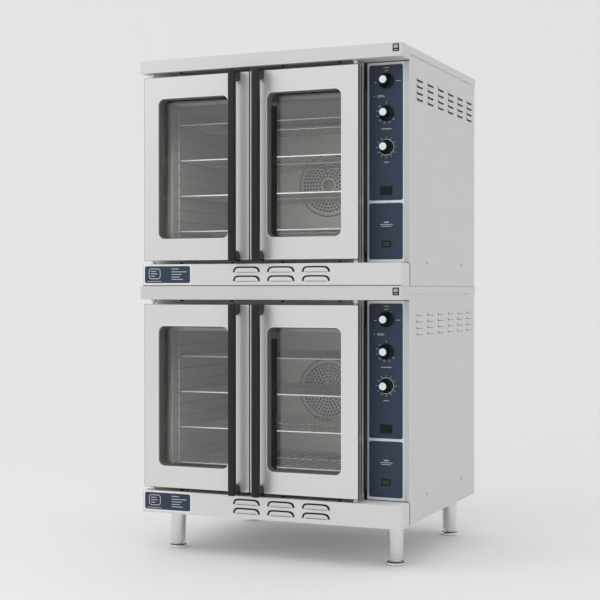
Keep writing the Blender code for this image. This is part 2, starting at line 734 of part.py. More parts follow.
def heating_element(deck):
    """A tube bent round the fan, its two ends turned back to the cavity's rear wall."""
    back = CAVITY_BACK - 2 * GAP
    ring = []
    for i in range(HEATER_POINTS):
        share = i / (HEATER_POINTS - 1)
        angle = -math.pi / 2 + HEATER_OPENING + share * (math.tau - 2 * HEATER_OPENING)
        x = CAVITY_X + HEATER_RADIUS * math.cos(angle)
        ring.append((x, HEATER_Y, FAN_Z + HEATER_RADIUS * math.sin(angle)))
    first, last = ring[0], ring[-1]
    points = [(first[0], back, first[2]), *ring, (last[0], back, last[2])]
    tube = bpy.data.curves.new(f"{deck.name}_heating_element", "CURVE")
    tube.dimensions = "3D"
    tube.bevel_depth = HEATER_TUBE
    tube.bevel_resolution = 2
    tube.use_fill_caps = True
    spline = tube.splines.new("POLY")
    spline.points.add(len(points) - 1)
    for point, place in zip(spline.points, points):
        point.co = (*place, 1)
    new_part(f"{deck.name}_heating_element", tube, "heater_dark", deck)


def build_deck(name, base):
    deck = new_empty(name, None, (0, FRONT_Y, base))
    top_cover(deck)
    base_pan(deck)
    side_panel(deck, "left", -1)
    side_louvres(side_panel(deck, "right", 1))
    rear_panel(deck)
    front_frame(deck)
    cavity_liner(deck)
    control_panel(deck)
    knobs(deck)
    rocker_switch(deck)
    door(deck, "left")
    door(deck, "right")
    racks(deck)
    rack_guide(deck, "left", CAVITY_LEFT, 1)
    rack_guide(deck, "right", CAVITY_RIGHT, -1)
    fan_baffle(deck)
    fan_wheel(deck)
    fan_motor(deck)
    heating_element(deck)


def build_legs():
    """Round tapered legs, each with a fixing flange above and a round foot below."""
    top = LEG_HEIGHT - GAP
    profile = [
        (0, top),
        (0.0400, top),
        (0.0400, top - 0.004),
        (0.0275, top - 0.004),
        (0.0275, top - 0.010),
        (0.0252, 0.022),
        (0.0240, 0.020),
        (0.0170, 0.019),
        (0.0170, 0.012),
        (0.0300, 0.010),
        (0.0330, 0.007),
        (0.0330, 0.002),
        (0.0310, 0),
        (0, 0),
    ]
    for row, y in (("front", LEG_FRONT_Y), ("rear", LEG_BACK_Y)):
        for side, x in (("left", -LEG_X), ("right", LEG_X)):
            turned_part(f"leg_{row}_{side}", profile, "stainless", None, (x, FRONT_Y + y, 0))


clear_scene()
PARTS = new_collection("convection_oven")
CUTTERS = new_collection("cutters")
MATERIALS = {name: new_material(name, *values) for name, values in COLOURS.items()}
for deck_name, deck_base in DECKS.items():
    build_deck(deck_name, deck_base)
build_legs()
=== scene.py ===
"""The looks of a double-stack convection oven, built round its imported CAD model.

A deck's pieces are shaped in the deck's own frame: X to the right, Y back from the front face of
its top cover, Z up from its base. Every size is in metres.
"""

import math

import bmesh
import bpy
from mathutils import Matrix, Vector


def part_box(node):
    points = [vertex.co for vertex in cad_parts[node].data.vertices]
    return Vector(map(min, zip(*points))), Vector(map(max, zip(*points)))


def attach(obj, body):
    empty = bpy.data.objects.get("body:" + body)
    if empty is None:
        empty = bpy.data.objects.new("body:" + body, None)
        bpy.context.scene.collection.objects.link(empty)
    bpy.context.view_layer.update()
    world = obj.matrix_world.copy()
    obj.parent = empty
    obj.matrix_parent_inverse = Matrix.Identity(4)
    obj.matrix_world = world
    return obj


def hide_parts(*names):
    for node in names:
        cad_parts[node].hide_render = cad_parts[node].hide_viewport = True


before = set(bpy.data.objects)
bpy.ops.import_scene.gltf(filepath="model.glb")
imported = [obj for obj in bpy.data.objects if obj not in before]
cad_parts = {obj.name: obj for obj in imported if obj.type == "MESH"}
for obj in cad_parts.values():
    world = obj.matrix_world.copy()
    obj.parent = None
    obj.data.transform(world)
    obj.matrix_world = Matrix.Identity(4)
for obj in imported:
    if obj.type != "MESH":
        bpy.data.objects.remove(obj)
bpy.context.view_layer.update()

DECKS = ("lower", "upper")
BODY = "oven"

CORNER_STEPS = 6
ROUND_STEPS = 48
SMOOTH_ANGLE = math.radians(35)

# Body
SHEET = 0.0015
PANEL_FRONT = 0.0858
SIDE_SHEET_INSET = 0.0035
TRIM_LEFT_INSET = 0.0054
BASE_FLANGE = 0.040
SEAL_DEPTH = 0.0190
SEAL_MARGINS = (0.0105, 0.0225)
JOINT_DEPTH = 0.0006
JOINT_HEIGHT = 0.0030
# Width of the strip of painted shade on the frame beside the panel.
SHADE_STRIP_WIDTH = 0.0120
GAP_BOLTS_X = (-0.330, -0.135, 0.055, 0.262)
GAP_BOLT_Y = 0.020
GAP_BOLT_HEIGHT = 0.007
GAP_BOLT_RADIUS = 0.0055
BUSH_RADIUS = 0.0085
NAMEPLATE = (-0.4640, -0.2860, 0.0115, 0.0705)

# Doors
HINGE_INSET = 0.020
HINGE_Y = 0.030
PIN_LENGTH = 0.0205
OUTER_PAN = 0.0250
SEAM = 0.0105
EDGE_BAND = (0.0003, 0.0125)
INNER_INSET = 0.002
DOOR_CORNER = 0.003
WINDOW_MARGIN = 0.0045
WINDOW_SHIFT = {"left": 0.0015, "right": 0.0032}
WINDOW_RADIUS = 0.022
WINDOW_LIP = 0.003
INNER_WINDOW_MARGIN = 0.012
SHADED_JAMB_WIDTH = 0.002
PANE_FRONTS = (0.0340, 0.0425)
PANE = 0.004

# Handles
GRIP_THICKNESS = 0.018
GRIP_ROUND = 0.0055
GRIP_ENDS = ((0.0, 0.80), (0.0015, 0.93), (0.004, 1.0))
GRIP_MARGINS = {"left": (0.0010, 0.0032), "right": (0.0028, 0.0032)}
FOOT_HEIGHT = 0.037
FOOT_TIP = 0.016

# Controls
DIAL_X = 0.401
PILOT_Z = 0.1395
CAP_RADIUS = 0.0125
OVERLAY_LEFT, OVERLAY_RIGHT = 0.3408, 0.4585
OVERLAYS_Z = ((0.2845, 0.733), (0.089, 0.2755))
OVERLAY_ROUND = 0.007
OVERLAY_PROUD = 0.0008
PRINT_PROUD = 0.0003

# Louvres
HOOD_COLUMNS = 24
HOOD_ROWS = 6
HOOD_PROUD = 0.0034
SIDE_HOOD_PROUD = 0.0020
TRIM_HOOD_SIZE = (0.0870, 0.0142)
# How far the dark mouths reach past each hood: the margin is painted shade round its top and ends.
TRIM_MOUTH_MARGIN = (0.0140, 0.0056)
TRIM_HOOD_FEET = (0.0175, 0.0480)
TRIM_HOODS_X = (-0.0715, 0.0560, 0.1835)
SIDE_HOOD_SIZE = (0.062, 0.0125)
SIDE_HOODS_Y = (0.196, 0.315, 0.434, 0.553, 0.672, 0.791)
SIDE_HOODS_Z = (0.704, 0.683, 0.661, 0.640)
MOUTH_PROUD = 0.0008
# The dark bar under each side louvre is its opening, drawn taller on the upper deck as painted shade for
# the darker look that deck's louvres have under the light.
MOUTH_DROP = {"lower": 0.0012, "upper": 0.0052}
SIDE_SCREWS = ((0.216, 0.765), (0.741, 0.764), (0.278, 0.080), (0.689, 0.080))

# Racks
RIM_RADIUS = 0.0023
WIRE_RADIUS = 0.0020
WIRES = 24
CROSS_WIRES = 1
GUIDE_SLOTS = 11
GUIDE_ROD = 0.0023

# Fan baffle
DISC_RADIUS = 0.118
HOLE_RADII = (0.036, 0.0485, 0.061, 0.0735, 0.086, 0.0985)
HOLE_PITCH = 0.0136
HOLE_RADIUS = 0.0047
HUB_RADIUS = 0.0220
LABEL = (-0.230, -0.166, 0.547, 0.567)

# Camera and cavity lamps
CAMERA_PLACE = Vector((1.9084, -4.1769, 0.9196))
CAMERA_YAW = 23.105
CAMERA_PITCH = -0.398
CAMERA_LENS = 81.7
LAMP_SIZE = (0.68, 0.34)
LAMP_DROP = 0.04
LAMP_POWER = {"lower": 0.68, "upper": 0.95}


# ---------------------------------------------------------------- materials


def new_material(name):
    """A new material, its node tree and its shader node."""
    material = bpy.data.materials.new(name)
    material.use_nodes = True
    tree = material.node_tree
    return material, tree, tree.nodes["Principled BSDF"]


def set_inputs(shader, **values):
    """Sets shader inputs by name, with underscores for spaces."""
    for name, value in values.items():
        shader.inputs[name.replace("_", " ")].default_value = value


def grain(tree, scale, detail=3.0):
    """A noise value that is stretched by a different scale along each of the object's axes."""
    place = tree.nodes.new("ShaderNodeTexCoord")
    mapping = tree.nodes.new("ShaderNodeMapping")
    mapping.inputs["Scale"].default_value = scale
    noise = tree.nodes.new("ShaderNodeTexNoise")
    noise.inputs["Scale"].default_value = 1.0
    noise.inputs["Detail"].default_value = detail
    tree.links.new(place.outputs["Object"], mapping.inputs["Vector"])
    tree.links.new(mapping.outputs["Vector"], noise.inputs["Vector"])
    return noise.outputs["Fac"]


def ranged(tree, value, low, high):
    """A noise value, spread over the range from low to high."""
    node = tree.nodes.new("ShaderNodeMapRange")
    node.inputs["From Min"].default_value = 0.3
    node.inputs["From Max"].default_value = 0.7
    node.inputs["To Min"].default_value = low
    node.inputs["To Max"].default_value = high
    tree.links.new(value, node.inputs["Value"])
    return node.outputs["Result"]


def steel(name, colour, roughness, scale, metallic=1.0, wear=0.04):
    """Brushed steel: fine lines along the axis with the smallest scale."""
    material, tree, shader = new_material(name)
    set_inputs(shader, Metallic=metallic)
    lines = grain(tree, scale)
    shade = tree.nodes.new("ShaderNodeMix")
    shade.data_type = "RGBA"
    shade.inputs["A"].default_value = (*[c * (1 - wear) for c in colour], 1)
    shade.inputs["B"].default_value = (*[min(1.0, c * (1 + wear)) for c in colour], 1)
    tree.links.new(ranged(tree, lines, 0, 1), shade.inputs["Factor"])
    tree.links.new(shade.outputs["Result"], shader.inputs["Base Color"])
    tree.links.new(ranged(tree, lines, roughness - 0.04, roughness + 0.05), shader.inputs["Roughness"])
    bump = tree.nodes.new("ShaderNodeBump")
    bump.inputs["Strength"].default_value = 0.02
    bump.inputs["Distance"].default_value = 0.0001
    tree.links.new(lines, bump.inputs["Height"])
    tree.links.new(bump.outputs["Normal"], shader.inputs["Normal"])
    return material


def plain(name, colour, roughness, metallic=0.0, mottle=0.04, scale=60.0, **inputs):
    """An even finish with a very slight mottle, so that it doesn't look computed."""
    material, tree, shader = new_material(name)
    set_inputs(shader, Metallic=metallic, **inputs)
    fine = grain(tree, (scale, scale, scale))
    shade = tree.nodes.new("ShaderNodeMix")
    shade.data_type = "RGBA"
    shade.inputs["A"].default_value = (*[c * (1 - mottle) for c in colour], 1)
    shade.inputs["B"].default_value = (*[min(1.0, c * (1 + mottle)) for c in colour], 1)
    tree.links.new(ranged(tree, fine, 0, 1), shade.inputs["Factor"])
    tree.links.new(shade.outputs["Result"], shader.inputs["Base Color"])
    tree.links.new(ranged(tree, fine, roughness * 0.95, roughness * 1.05), shader.inputs["Roughness"])
    return material


def window_glass():
    """Clear panes: the studio reflects in them, and a faint smear varies their polish."""
    material, tree, shader = new_material("window_glass")
    set_inputs(shader, Transmission_Weight=1.0, IOR=1.45)
    shader.inputs["Base Color"].default_value = (0.90, 0.91, 0.90, 1)
    smear = grain(tree, (6.0, 6.0, 3.0), 2.0)
    tree.links.new(ranged(tree, smear, 0.0, 0.02), shader.inputs["Roughness"])
    return material


def lamp_lens():
    """Dark green plastic with a faint glow."""
    material, tree, shader = new_material("lamp_lens")
    set_inputs(shader, Roughness=0.35, Emission_Strength=0.06)
    shader.inputs["Emission Color"].default_value = (0.03, 0.22, 0.04, 1)
    tint = ranged(tree, grain(tree, (200.0, 200.0, 200.0)), 0, 1)
    shade = tree.nodes.new("ShaderNodeMix")
    shade.data_type = "RGBA"
    shade.inputs["A"].default_value = (0.006, 0.016, 0.010, 1)
    shade.inputs["B"].default_value = (0.008, 0.022, 0.012, 1)
    tree.links.new(tint, shade.inputs["Factor"])
    tree.links.new(shade.outputs["Result"], shader.inputs["Base Color"])
    return material


def make_materials():
    """Every finish, by its name."""
    upright = (1100.0, 1100.0, 8.0)
    across = (30.0, 30.0, 1600.0)
    return {
        "door_steel": steel("door_steel", (0.735, 0.735, 0.725), 0.32, across, 0.60, 0.004),
        "front_steel": steel("front_steel", (0.725, 0.725, 0.717), 0.34, across, 0.60, 0.004),
        # Painted shade: the cover's steel is a darker copy of the front steel, which tones down the key
        # light where it falls strongest, near the top.
        "cover_steel_painted_shade": steel("cover_steel_painted_shade", (0.675, 0.675, 0.665), 0.34, across, 0.60, 0.004),
        "side_steel": steel("side_steel", (0.68, 0.68, 0.677), 0.40, upright, 0.60, 0.006),
        "cavity_steel": steel("cavity_steel", (0.43, 0.43, 0.405), 0.42, upright, 0.5, 0.03),
        "guide_steel": plain("guide_steel", (0.40, 0.40, 0.38), 0.45, 0.5),
        "chrome_wire": plain("chrome_wire", (0.95, 0.95, 0.94), 0.45, 0.15),
        # Painted shade: a darker copy of the side steel for the front-facing return strip, standing for the
        # shade it shows.
        "return_steel_painted_shade": steel("return_steel_painted_shade", (0.56, 0.57, 0.565), 0.40, upright, 0.60, 0.010),
        "leg_steel": steel("leg_steel", (0.77, 0.77, 0.77), 0.24, upright, 0.90, 0.006),
        "bright_cap": plain("bright_cap", (0.86, 0.87, 0.88), 0.25, 0.4),
        "panel_frame": plain("panel_frame", (0.72, 0.74, 0.77), 0.35, 0.6),
        "panel_blue": plain("panel_blue", (0.0130, 0.0315, 0.0660), 0.42, 0.0, 0.06),
        "print_white": plain("print_white", (0.55, 0.58, 0.62), 0.60),
        "post_steel": plain("post_steel", (0.62, 0.62, 0.60), 0.45, 0.3),
        # Painted shade: the window jamb's lining, dark grey as steel in shade.
        "shaded_jamb_grey": plain("shaded_jamb_grey", (0.16, 0.16, 0.15), 0.45),
        # Painted shade: a darker copy of the rack's chrome, for the dim wires behind the front bar.
        "shaded_wire_grey": plain("shaded_wire_grey", (0.66, 0.66, 0.64), 0.32, 0.75),
        # Painted light: matte white for the top of the trim's nose, which catches the light.
        "ledge_painted_light": plain("ledge_painted_light", (0.80, 0.80, 0.79), 0.80),
        "hub_grey": plain("hub_grey", (0.24, 0.24, 0.23), 0.45, 0.4),
        "label_grey": plain("label_grey", (0.50, 0.51, 0.50), 0.50),
        "badge_grey": plain("badge_grey", (0.36, 0.37, 0.38), 0.50),
        # Painted shade: the grey that stands for the dim light in the gaps round the doors.
        "gap_painted_shade": plain("gap_painted_shade", (0.62, 0.61, 0.58), 0.50),
        "handle_black": plain(
            "handle_black", (0.010, 0.010, 0.0095), 0.40, 0.0, 0.08, 900.0, Specular_IOR_Level=0.32
        ),
        "knob_black": plain("knob_black", (0.004, 0.006, 0.007), 0.30, Specular_IOR_Level=0.24),
        "rubber": plain("rubber", (0.018, 0.018, 0.017), 0.70, 0.0, 0.10, 300.0),
        "void": plain("void", (0.010, 0.010, 0.010), 0.90),
        "window_glass": window_glass(),
        "lamp_lens": lamp_lens(),
        "fan_steel": steel("fan_steel", (0.55, 0.55, 0.55), 0.40, (90.0, 90.0, 90.0)),
        "motor_grey": plain("motor_grey", (0.20, 0.21, 0.22), 0.50),
        "heater_dark": plain("heater_dark", (0.08, 0.07, 0.06), 0.60, 0.8),
    }


# ---------------------------------------------------------------- shapes


def rounded_loop(rect, radius):
    """Points (x, z) round a rectangle (left, right, low, high) with rounded corners."""
    left, right, low, high = rect
    centres = (
        (right - radius, low + radius, -90),
        (right - radius, high - radius, 0),
        (left + radius, high - radius, 90),
        (left + radius, low + radius, 180),
    )
    points = []
    for x, z, start in centres:
        for i in range(CORNER_STEPS + 1):
            angle = math.radians(start + 90 * i / CORNER_STEPS)
            points.append((x + radius * math.cos(angle), z + radius * math.sin(angle)))
    return points


def grown(rect, margin):
    """A rectangle with each edge moved out by margin."""
    left, right, low, high = rect
    return left - margin, right + margin, low - margin, high + margin


class Shape:
    """Gathers solids in one mesh, which becomes one piece."""

    def __init__(self):
        self.bm = bmesh.new()

    def box(self, low, high):
        """A box between two opposite corners."""
        low, high = Vector(low), Vector(high)
        place = Matrix.LocRotScale((low + high) / 2, None, high - low)
        bmesh.ops.create_cube(self.bm, size=1, matrix=place)
        return self

    def band(self, a, b):
        """Faces between two loops with as many vertices."""
        for i in range(len(a)):
            j = (i + 1) % len(a)
            self.bm.faces.new((a[i], a[j], b[j], b[i]))

    def skin(self, rings):
        """Faces between rings of points, with the first and the last ring capped."""
        made = [[self.bm.verts.new(point) for point in ring] for ring in rings]
        for a, b in zip(made, made[1:]):
            self.band(a, b)
        self.bm.faces.new(made[0][::-1])
        self.bm.faces.new(made[-1])
        return self

    def tube(self, rings):
        """Faces between rings of points, with the last ring joined to the first."""
        made = [[self.bm.verts.new(point) for point in ring] for ring in rings]
        for a, b in zip(made, made[1:] + made[:1]):
            self.band(a, b)
        return self

    def plate(self, rect, radius, front, back, hole=None, hole_radius=0.0):
        """A rounded plate facing -Y, from front to back, that may have a rounded hole."""
        outer = rounded_loop(rect, radius)
        if hole is None:
            return self.skin([[(x, y, z) for x, z in outer] for y in (front, back)])
        inner = rounded_loop(hole, hole_radius)
        loops = ((outer, front), (outer, back), (inner, back), (inner, front))
        return self.tube([[(x, y, z) for x, z in loop] for loop, y in loops])

    def rod(self, start, end, radius, sides=12):
        """A round rod with flat ends."""
        start, end = Vector(start), Vector(end)
        along = end - start
        turn = Vector((0, 0, 1)).rotation_difference(along).to_matrix().to_4x4()
        bmesh.ops.create_cone(
            self.bm,
            cap_ends=True,
            segments=sides,
            radius1=radius,
            radius2=radius,
            depth=along.length,
            matrix=Matrix.Translation((start + end) / 2) @ turn,
        )
        return self

    def lathe(self, profile, centre, axis=(0, 0, 1), steps=ROUND_STEPS):
        """A closed (radius, height) profile turned about an axis through centre."""
        centre = Vector(centre)
        turn = Vector((0, 0, 1)).rotation_difference(Vector(axis))
        rings = []
        for radius, height in profile:
            ring = []
            for i in range(steps):
                angle = math.tau * i / steps
                point = Vector((radius * math.cos(angle), radius * math.sin(angle), height))
                ring.append(centre + turn @ point)
            rings.append(ring)
        return self.skin(rings)

    def prism(self, outline, left, right):
        """A (y, z) outline carried along X."""
        return self.skin([[(x, y, z) for y, z in outline] for x in (left, right)])

    def hood(self, foot, right, up, out, size, proud, roundness=7):
        """A louvre's hood: its foot is flush, and it rises to a lip at the far end of up."""
        foot, right, up, out = Vector(foot), Vector(right), Vector(up), Vector(out)
        width, height = size
        face, back = [], []
        for row in range(HOOD_ROWS + 1):
            v = row / HOOD_ROWS
            bulge = math.sin(math.pi / 2 * v)
            line, under = [], []
            for column in range(HOOD_COLUMNS + 1):
                u = math.sin(math.pi / 2 * (2 * column / HOOD_COLUMNS - 1))
                drop = math.sqrt(max(0.0, 1 - abs(u) ** roundness))
                point = foot + right * (u * width / 2) + up * (v * height * drop)
                line.append(point + out * (proud * bulge * drop))
                under.append(point - out * 0.0004)
            face.append(line)
            back.append(under)
        rings = [a + b[::-1] for a, b in zip(face, back)]
        return self.skin(rings)

    def words(self, text, size, centre):
        """Plain figures standing on a surface that faces -Y."""
        curve = bpy.data.curves.new("figures", "FONT")
        curve.body = text
        curve.size = size
        curve.align_x = "CENTER"
        curve.align_y = "CENTER"
        curve.resolution_u = 2
        curve.extrude = PRINT_PROUD / 2
        helper = bpy.data.objects.new("figures", curve)
        bpy.context.scene.collection.objects.link(helper)
        graph = bpy.context.evaluated_depsgraph_get()
        mesh = bpy.data.meshes.new_from_object(helper.evaluated_get(graph))
        mesh.transform(Matrix.Translation(centre) @ Matrix.Rotation(math.pi / 2, 4, "X"))
        self.bm.from_mesh(mesh)
        bpy.data.objects.remove(helper)
        bpy.data.meshes.remove(mesh)
        return self

    def piece(self, name, material, place, body, slot=None, nodes=(), bevel=0.0, sharp=SMOOTH_ANGLE):
        """Ends the shape: makes it an object at place that rides on body and stands for nodes."""
        bmesh.ops.recalc_face_normals(self.bm, faces=self.bm.faces)
        mesh = bpy.data.meshes.new(name)
        self.bm.to_mesh(mesh)
        self.bm.free()
        mesh.materials.append(MATERIALS[material])
        mesh.shade_smooth()
        mesh.set_sharp_from_angle(angle=sharp)
        obj = bpy.data.objects.new(name, mesh)
        bpy.context.scene.collection.objects.link(obj)
        obj.location = place
        if bevel:
            soften = obj.modifiers.new("Bevel", "BEVEL")
            soften.width = bevel
            soften.segments = 3
            soften.limit_method = "ANGLE"
            soften.angle_limit = math.radians(40)
        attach(obj, body)
        if nodes:
            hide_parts(*nodes)
        return obj


def softened(node, material, slot, width=0.0005):
    """A copy of a CAD node's shape with rounded edges, which stands for it."""
    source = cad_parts[node].data
    shape = Shape()
    shape.bm.from_mesh(source)
    bmesh.ops.remove_doubles(shape.bm, verts=shape.bm.verts, dist=0.00001)
    bmesh.ops.dissolve_limit(
        shape.bm, angle_limit=math.radians(1), verts=shape.bm.verts, edges=shape.bm.edges
    )
    return shape.piece(f"{node}_look", material, (0, 0, 0), BODY, slot, [node], width)


def paint(node, material):
    """A CAD node that shows as it is, in a procedural finish."""
    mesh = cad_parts[node].data
    mesh.materials.clear()
    mesh.materials.append(MATERIALS[material])


# ---------------------------------------------------------------- places on a deck


def deck_place(deck):
    """The origin of a deck's own frame, in the shared frame."""
    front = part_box(f"{deck}_top_cover")[0].y
    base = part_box(f"{deck}_base_pan")[0].z
    return Vector((0, front, base))


def local_box(deck, node):
    """The two corners of a CAD node's box, in its deck's frame."""
    low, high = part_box(f"{deck}_{node}")
    return low - deck_place(deck), high - deck_place(deck)


def window_rect(deck, side):
    """A door's window opening, as a rectangle facing the front."""
    low, high = local_box(deck, f"{side}_door_glass")
    shift = WINDOW_SHIFT[side]
    return grown((low.x - shift, high.x - shift, low.z, high.z), -WINDOW_MARGIN)


def hinge_x(deck, side):
    """Where the line of a door's hinge pins is, across the deck."""
    low, high = local_box(deck, f"{side}_door_shell")
    return low.x + HINGE_INSET if side == "left" else high.x - HINGE_INSET


# ---------------------------------------------------------------- body


def base_trim(deck):
    """The louvred front trim with the floor pan behind it."""
    low, high = local_box(deck, "base_pan")
    trim_left = low.x + TRIM_LEFT_INSET
    nose_back = PANEL_FRONT - 0.0003
    shape = Shape()
    shape.box((trim_left, 0, 0), (high.x, nose_back, high.z))
    shape.box((low.x, nose_back - SHEET, 0), (-low.x, high.y, SHEET))
    shape.box((low.x, nose_back, 0), (low.x + SHEET, high.y, BASE_FLANGE))
    shape.box((-low.x - SHEET, nose_back, 0), (-low.x, high.y, BASE_FLANGE))
    place = deck_place(deck)
    shape.piece(f"{deck}_base_trim", "front_steel", place, BODY, "stainless", [f"{deck}_base_pan"], 0.0012)
    hoods, openings_and_shade = Shape(), Shape()
    facing = ((1, 0, 0), (0, 0, 1), (0, -1, 0))
    width, height = TRIM_HOOD_SIZE
    # The dark mouth is the louvre's opening, grown past the hood as painted shade round its top and ends.
    mouth = (width + TRIM_MOUTH_MARGIN[0], height + TRIM_MOUTH_MARGIN[1])
    for x in TRIM_HOODS_X:
        for z in TRIM_HOOD_FEET:
            hoods.hood((x, 0, z), *facing, TRIM_HOOD_SIZE, HOOD_PROUD)
            openings_and_shade.hood((x, 0, z - 0.0004), *facing, mouth, MOUTH_PROUD)
            # A painted shade line at each hood's bottom crease.
            openings_and_shade.box((x - 0.42 * width, -0.0009, z - 0.0012), (x + 0.42 * width, 0.0002, z - 0.0003))
    hoods.piece(f"{deck}_trim_hoods", "front_steel", place, BODY, "stainless", sharp=math.radians(50))
    openings_and_shade.piece(f"{deck}_trim_mouths", "void", place, BODY)


def side_panel_right(deck):
    """A thin sheet with a return at its front edge, rows of louvres and a few screws."""
    low, high = local_box(deck, "side_panel_right")
    outer = high.x - SIDE_SHEET_INSET
    place = deck_place(deck)
    shape = Shape()
    shape.box((outer - SHEET, PANEL_FRONT, low.z), (outer, high.y, high.z))
    node = f"{deck}_side_panel_right"
    shape.piece(f"{deck}_side_sheet", "side_steel", place, BODY, "stainless", [node], 0.0006)
    strip_low = (low.x, PANEL_FRONT, BASE_FLANGE + 0.002)
    strip = Shape().box(strip_low, (outer - SHEET, PANEL_FRONT + SHEET, high.z))
    # The return strip takes the darker copy of the side steel, painted shade.
    strip.piece(f"{deck}_side_return", "return_steel_painted_shade", place, BODY, "stainless", bevel=0.0004)
    hoods, openings_and_shade = Shape(), Shape()
    width, height = SIDE_HOOD_SIZE
    facing = ((0, 1, 0), (0, 0, -1), (1, 0, 0))
    reach = 0.46 * width
    for y in SIDE_HOODS_Y:
        for z in SIDE_HOODS_Z:
            hoods.hood((outer, y, z), *facing, SIDE_HOOD_SIZE, SIDE_HOOD_PROUD, 12)
            lip = z - height
            # The bar is the louvre's dark opening, taller on the upper deck as painted shade.
            openings_and_shade.box((outer, y - reach, lip - MOUTH_DROP[deck]), (outer + 0.0016, y + reach, lip + 0.002))
    hoods.piece(f"{deck}_side_hoods", "side_steel", place, BODY, "stainless", sharp=math.radians(50))
    openings_and_shade.piece(f"{deck}_side_mouths", "void", place, BODY)
    screws = Shape()
    profile = ((0.0040, 0.0), (0.0038, 0.0004), (0.0024, 0.0016), (0.0001, 0.0022))
    for y, z in SIDE_SCREWS:
        screws.lathe(profile, (outer, y, z), (1, 0, 0), 20)
    screws.piece(f"{deck}_side_screws", "hub_grey", place, BODY, "stainless")


def door_seal(deck):
    """The black rubber seal on the front frame, round the cavity's mouth."""
    low, high = local_box(deck, "cavity_liner")
    mouth = (low.x, high.x, low.z, high.z)
    inner, outer = [grown(mouth, margin) for margin in SEAL_MARGINS]
    shape = Shape()
    shape.plate(outer, 0.012, PANEL_FRONT - SEAL_DEPTH, PANEL_FRONT - 0.0002, inner, 0.008)
    shape.piece(f"{deck}_door_seal", "rubber", deck_place(deck), BODY)


def seams_and_painted_light(deck):
    """The dark gaps between neighbouring sheets, round the doors, by the panel and below the cover, with a
    strip of painted shade on the frame beside the panel; painted shade in the gaps above and below the
    doors; and a white ledge painted as light on the trim's top.
    """
    trim_top = local_box(deck, "base_pan")[1].z
    cover_low = local_box(deck, "top_cover")[0].z
    panel_left = local_box(deck, "control_panel")[0].x
    shade_strip_left = panel_left - SHADE_STRIP_WIDTH
    right = local_box(deck, "side_panel_right")[1].x - SIDE_SHEET_INSET
    left = local_box(deck, "left_door_shell")[0].x
    front = PANEL_FRONT - JOINT_DEPTH
    panel_edge = panel_left - 0.0004
    gaps = Shape()
    # Painted shade: a dark strip on the frame beside the panel, where the frame lies in the shadow behind
    # the door.
    gaps.box((shade_strip_left, front, trim_top), (panel_edge, PANEL_FRONT, cover_low))
    gaps.box((panel_edge, front, trim_top), (right, PANEL_FRONT, trim_top + JOINT_HEIGHT))
    gaps.box((panel_edge, front, cover_low - JOINT_HEIGHT), (right, PANEL_FRONT, cover_low))
    corner = (right + 0.0032, PANEL_FRONT + 0.0002, trim_top)
    gaps.box((right - 0.0004, PANEL_FRONT - 0.0003, 0.001), corner)
    if deck == "upper":
        gaps.box((left - 0.006, -0.0003, 0.0016), (right + 0.002, 0.004, 0.0038))
    gaps.piece(f"{deck}_seams_and_shade_strip", "void", deck_place(deck), BODY)
    # Painted shade: grey sheets on the frame above and below the doors, and one under the cover's nose,
    # stand for the dim light in these gaps.
    shade = Shape()
    shade.box((left, front, trim_top), (shade_strip_left, PANEL_FRONT, trim_top + 0.014))
    shade.box((left, front, cover_low - 0.018), (shade_strip_left, PANEL_FRONT, cover_low))
    shade.box((left, 0.004, cover_low - 0.0004), (right, front, cover_low))
    shade.piece(f"{deck}_gap_shade", "gap_painted_shade", deck_place(deck), BODY)
    # Painted light: a matte white sheet on the trim's top stands for the light that the nose's top catches.
    ledge = Shape().box((left, 0.002, trim_top - 0.0002), (right + 0.0010, front, trim_top + 0.0003))
    ledge.piece(f"{deck}_trim_ledge", "ledge_painted_light", deck_place(deck), BODY)


def gap_fittings(deck):
    """The bolts and blocks in the gaps above and below the doors."""
    trim_top = local_box(deck, "base_pan")[1].z
    cover_low = local_box(deck, "top_cover")[0].z
    place = deck_place(deck)
    bolts = Shape()
    for x in GAP_BOLTS_X:
        for low, high in ((trim_top, trim_top + GAP_BOLT_HEIGHT), (cover_low - GAP_BOLT_HEIGHT, cover_low)):
            bolts.rod((x, GAP_BOLT_Y, low), (x, GAP_BOLT_Y, high), GAP_BOLT_RADIUS)
    bolts.piece(f"{deck}_gap_bolts", "rubber", place, BODY)
    blocks = Shape()
    for side in ("left", "right"):
        x = hinge_x(deck, side)
        blocks.rod((x, HINGE_Y, trim_top), (x, HINGE_Y, trim_top + 0.008), BUSH_RADIUS)
        blocks.rod((x, HINGE_Y, cover_low - 0.010), (x, HINGE_Y, cover_low), BUSH_RADIUS)
    blocks.piece(f"{deck}_hinge_bushes", "bright_cap", place, BODY)


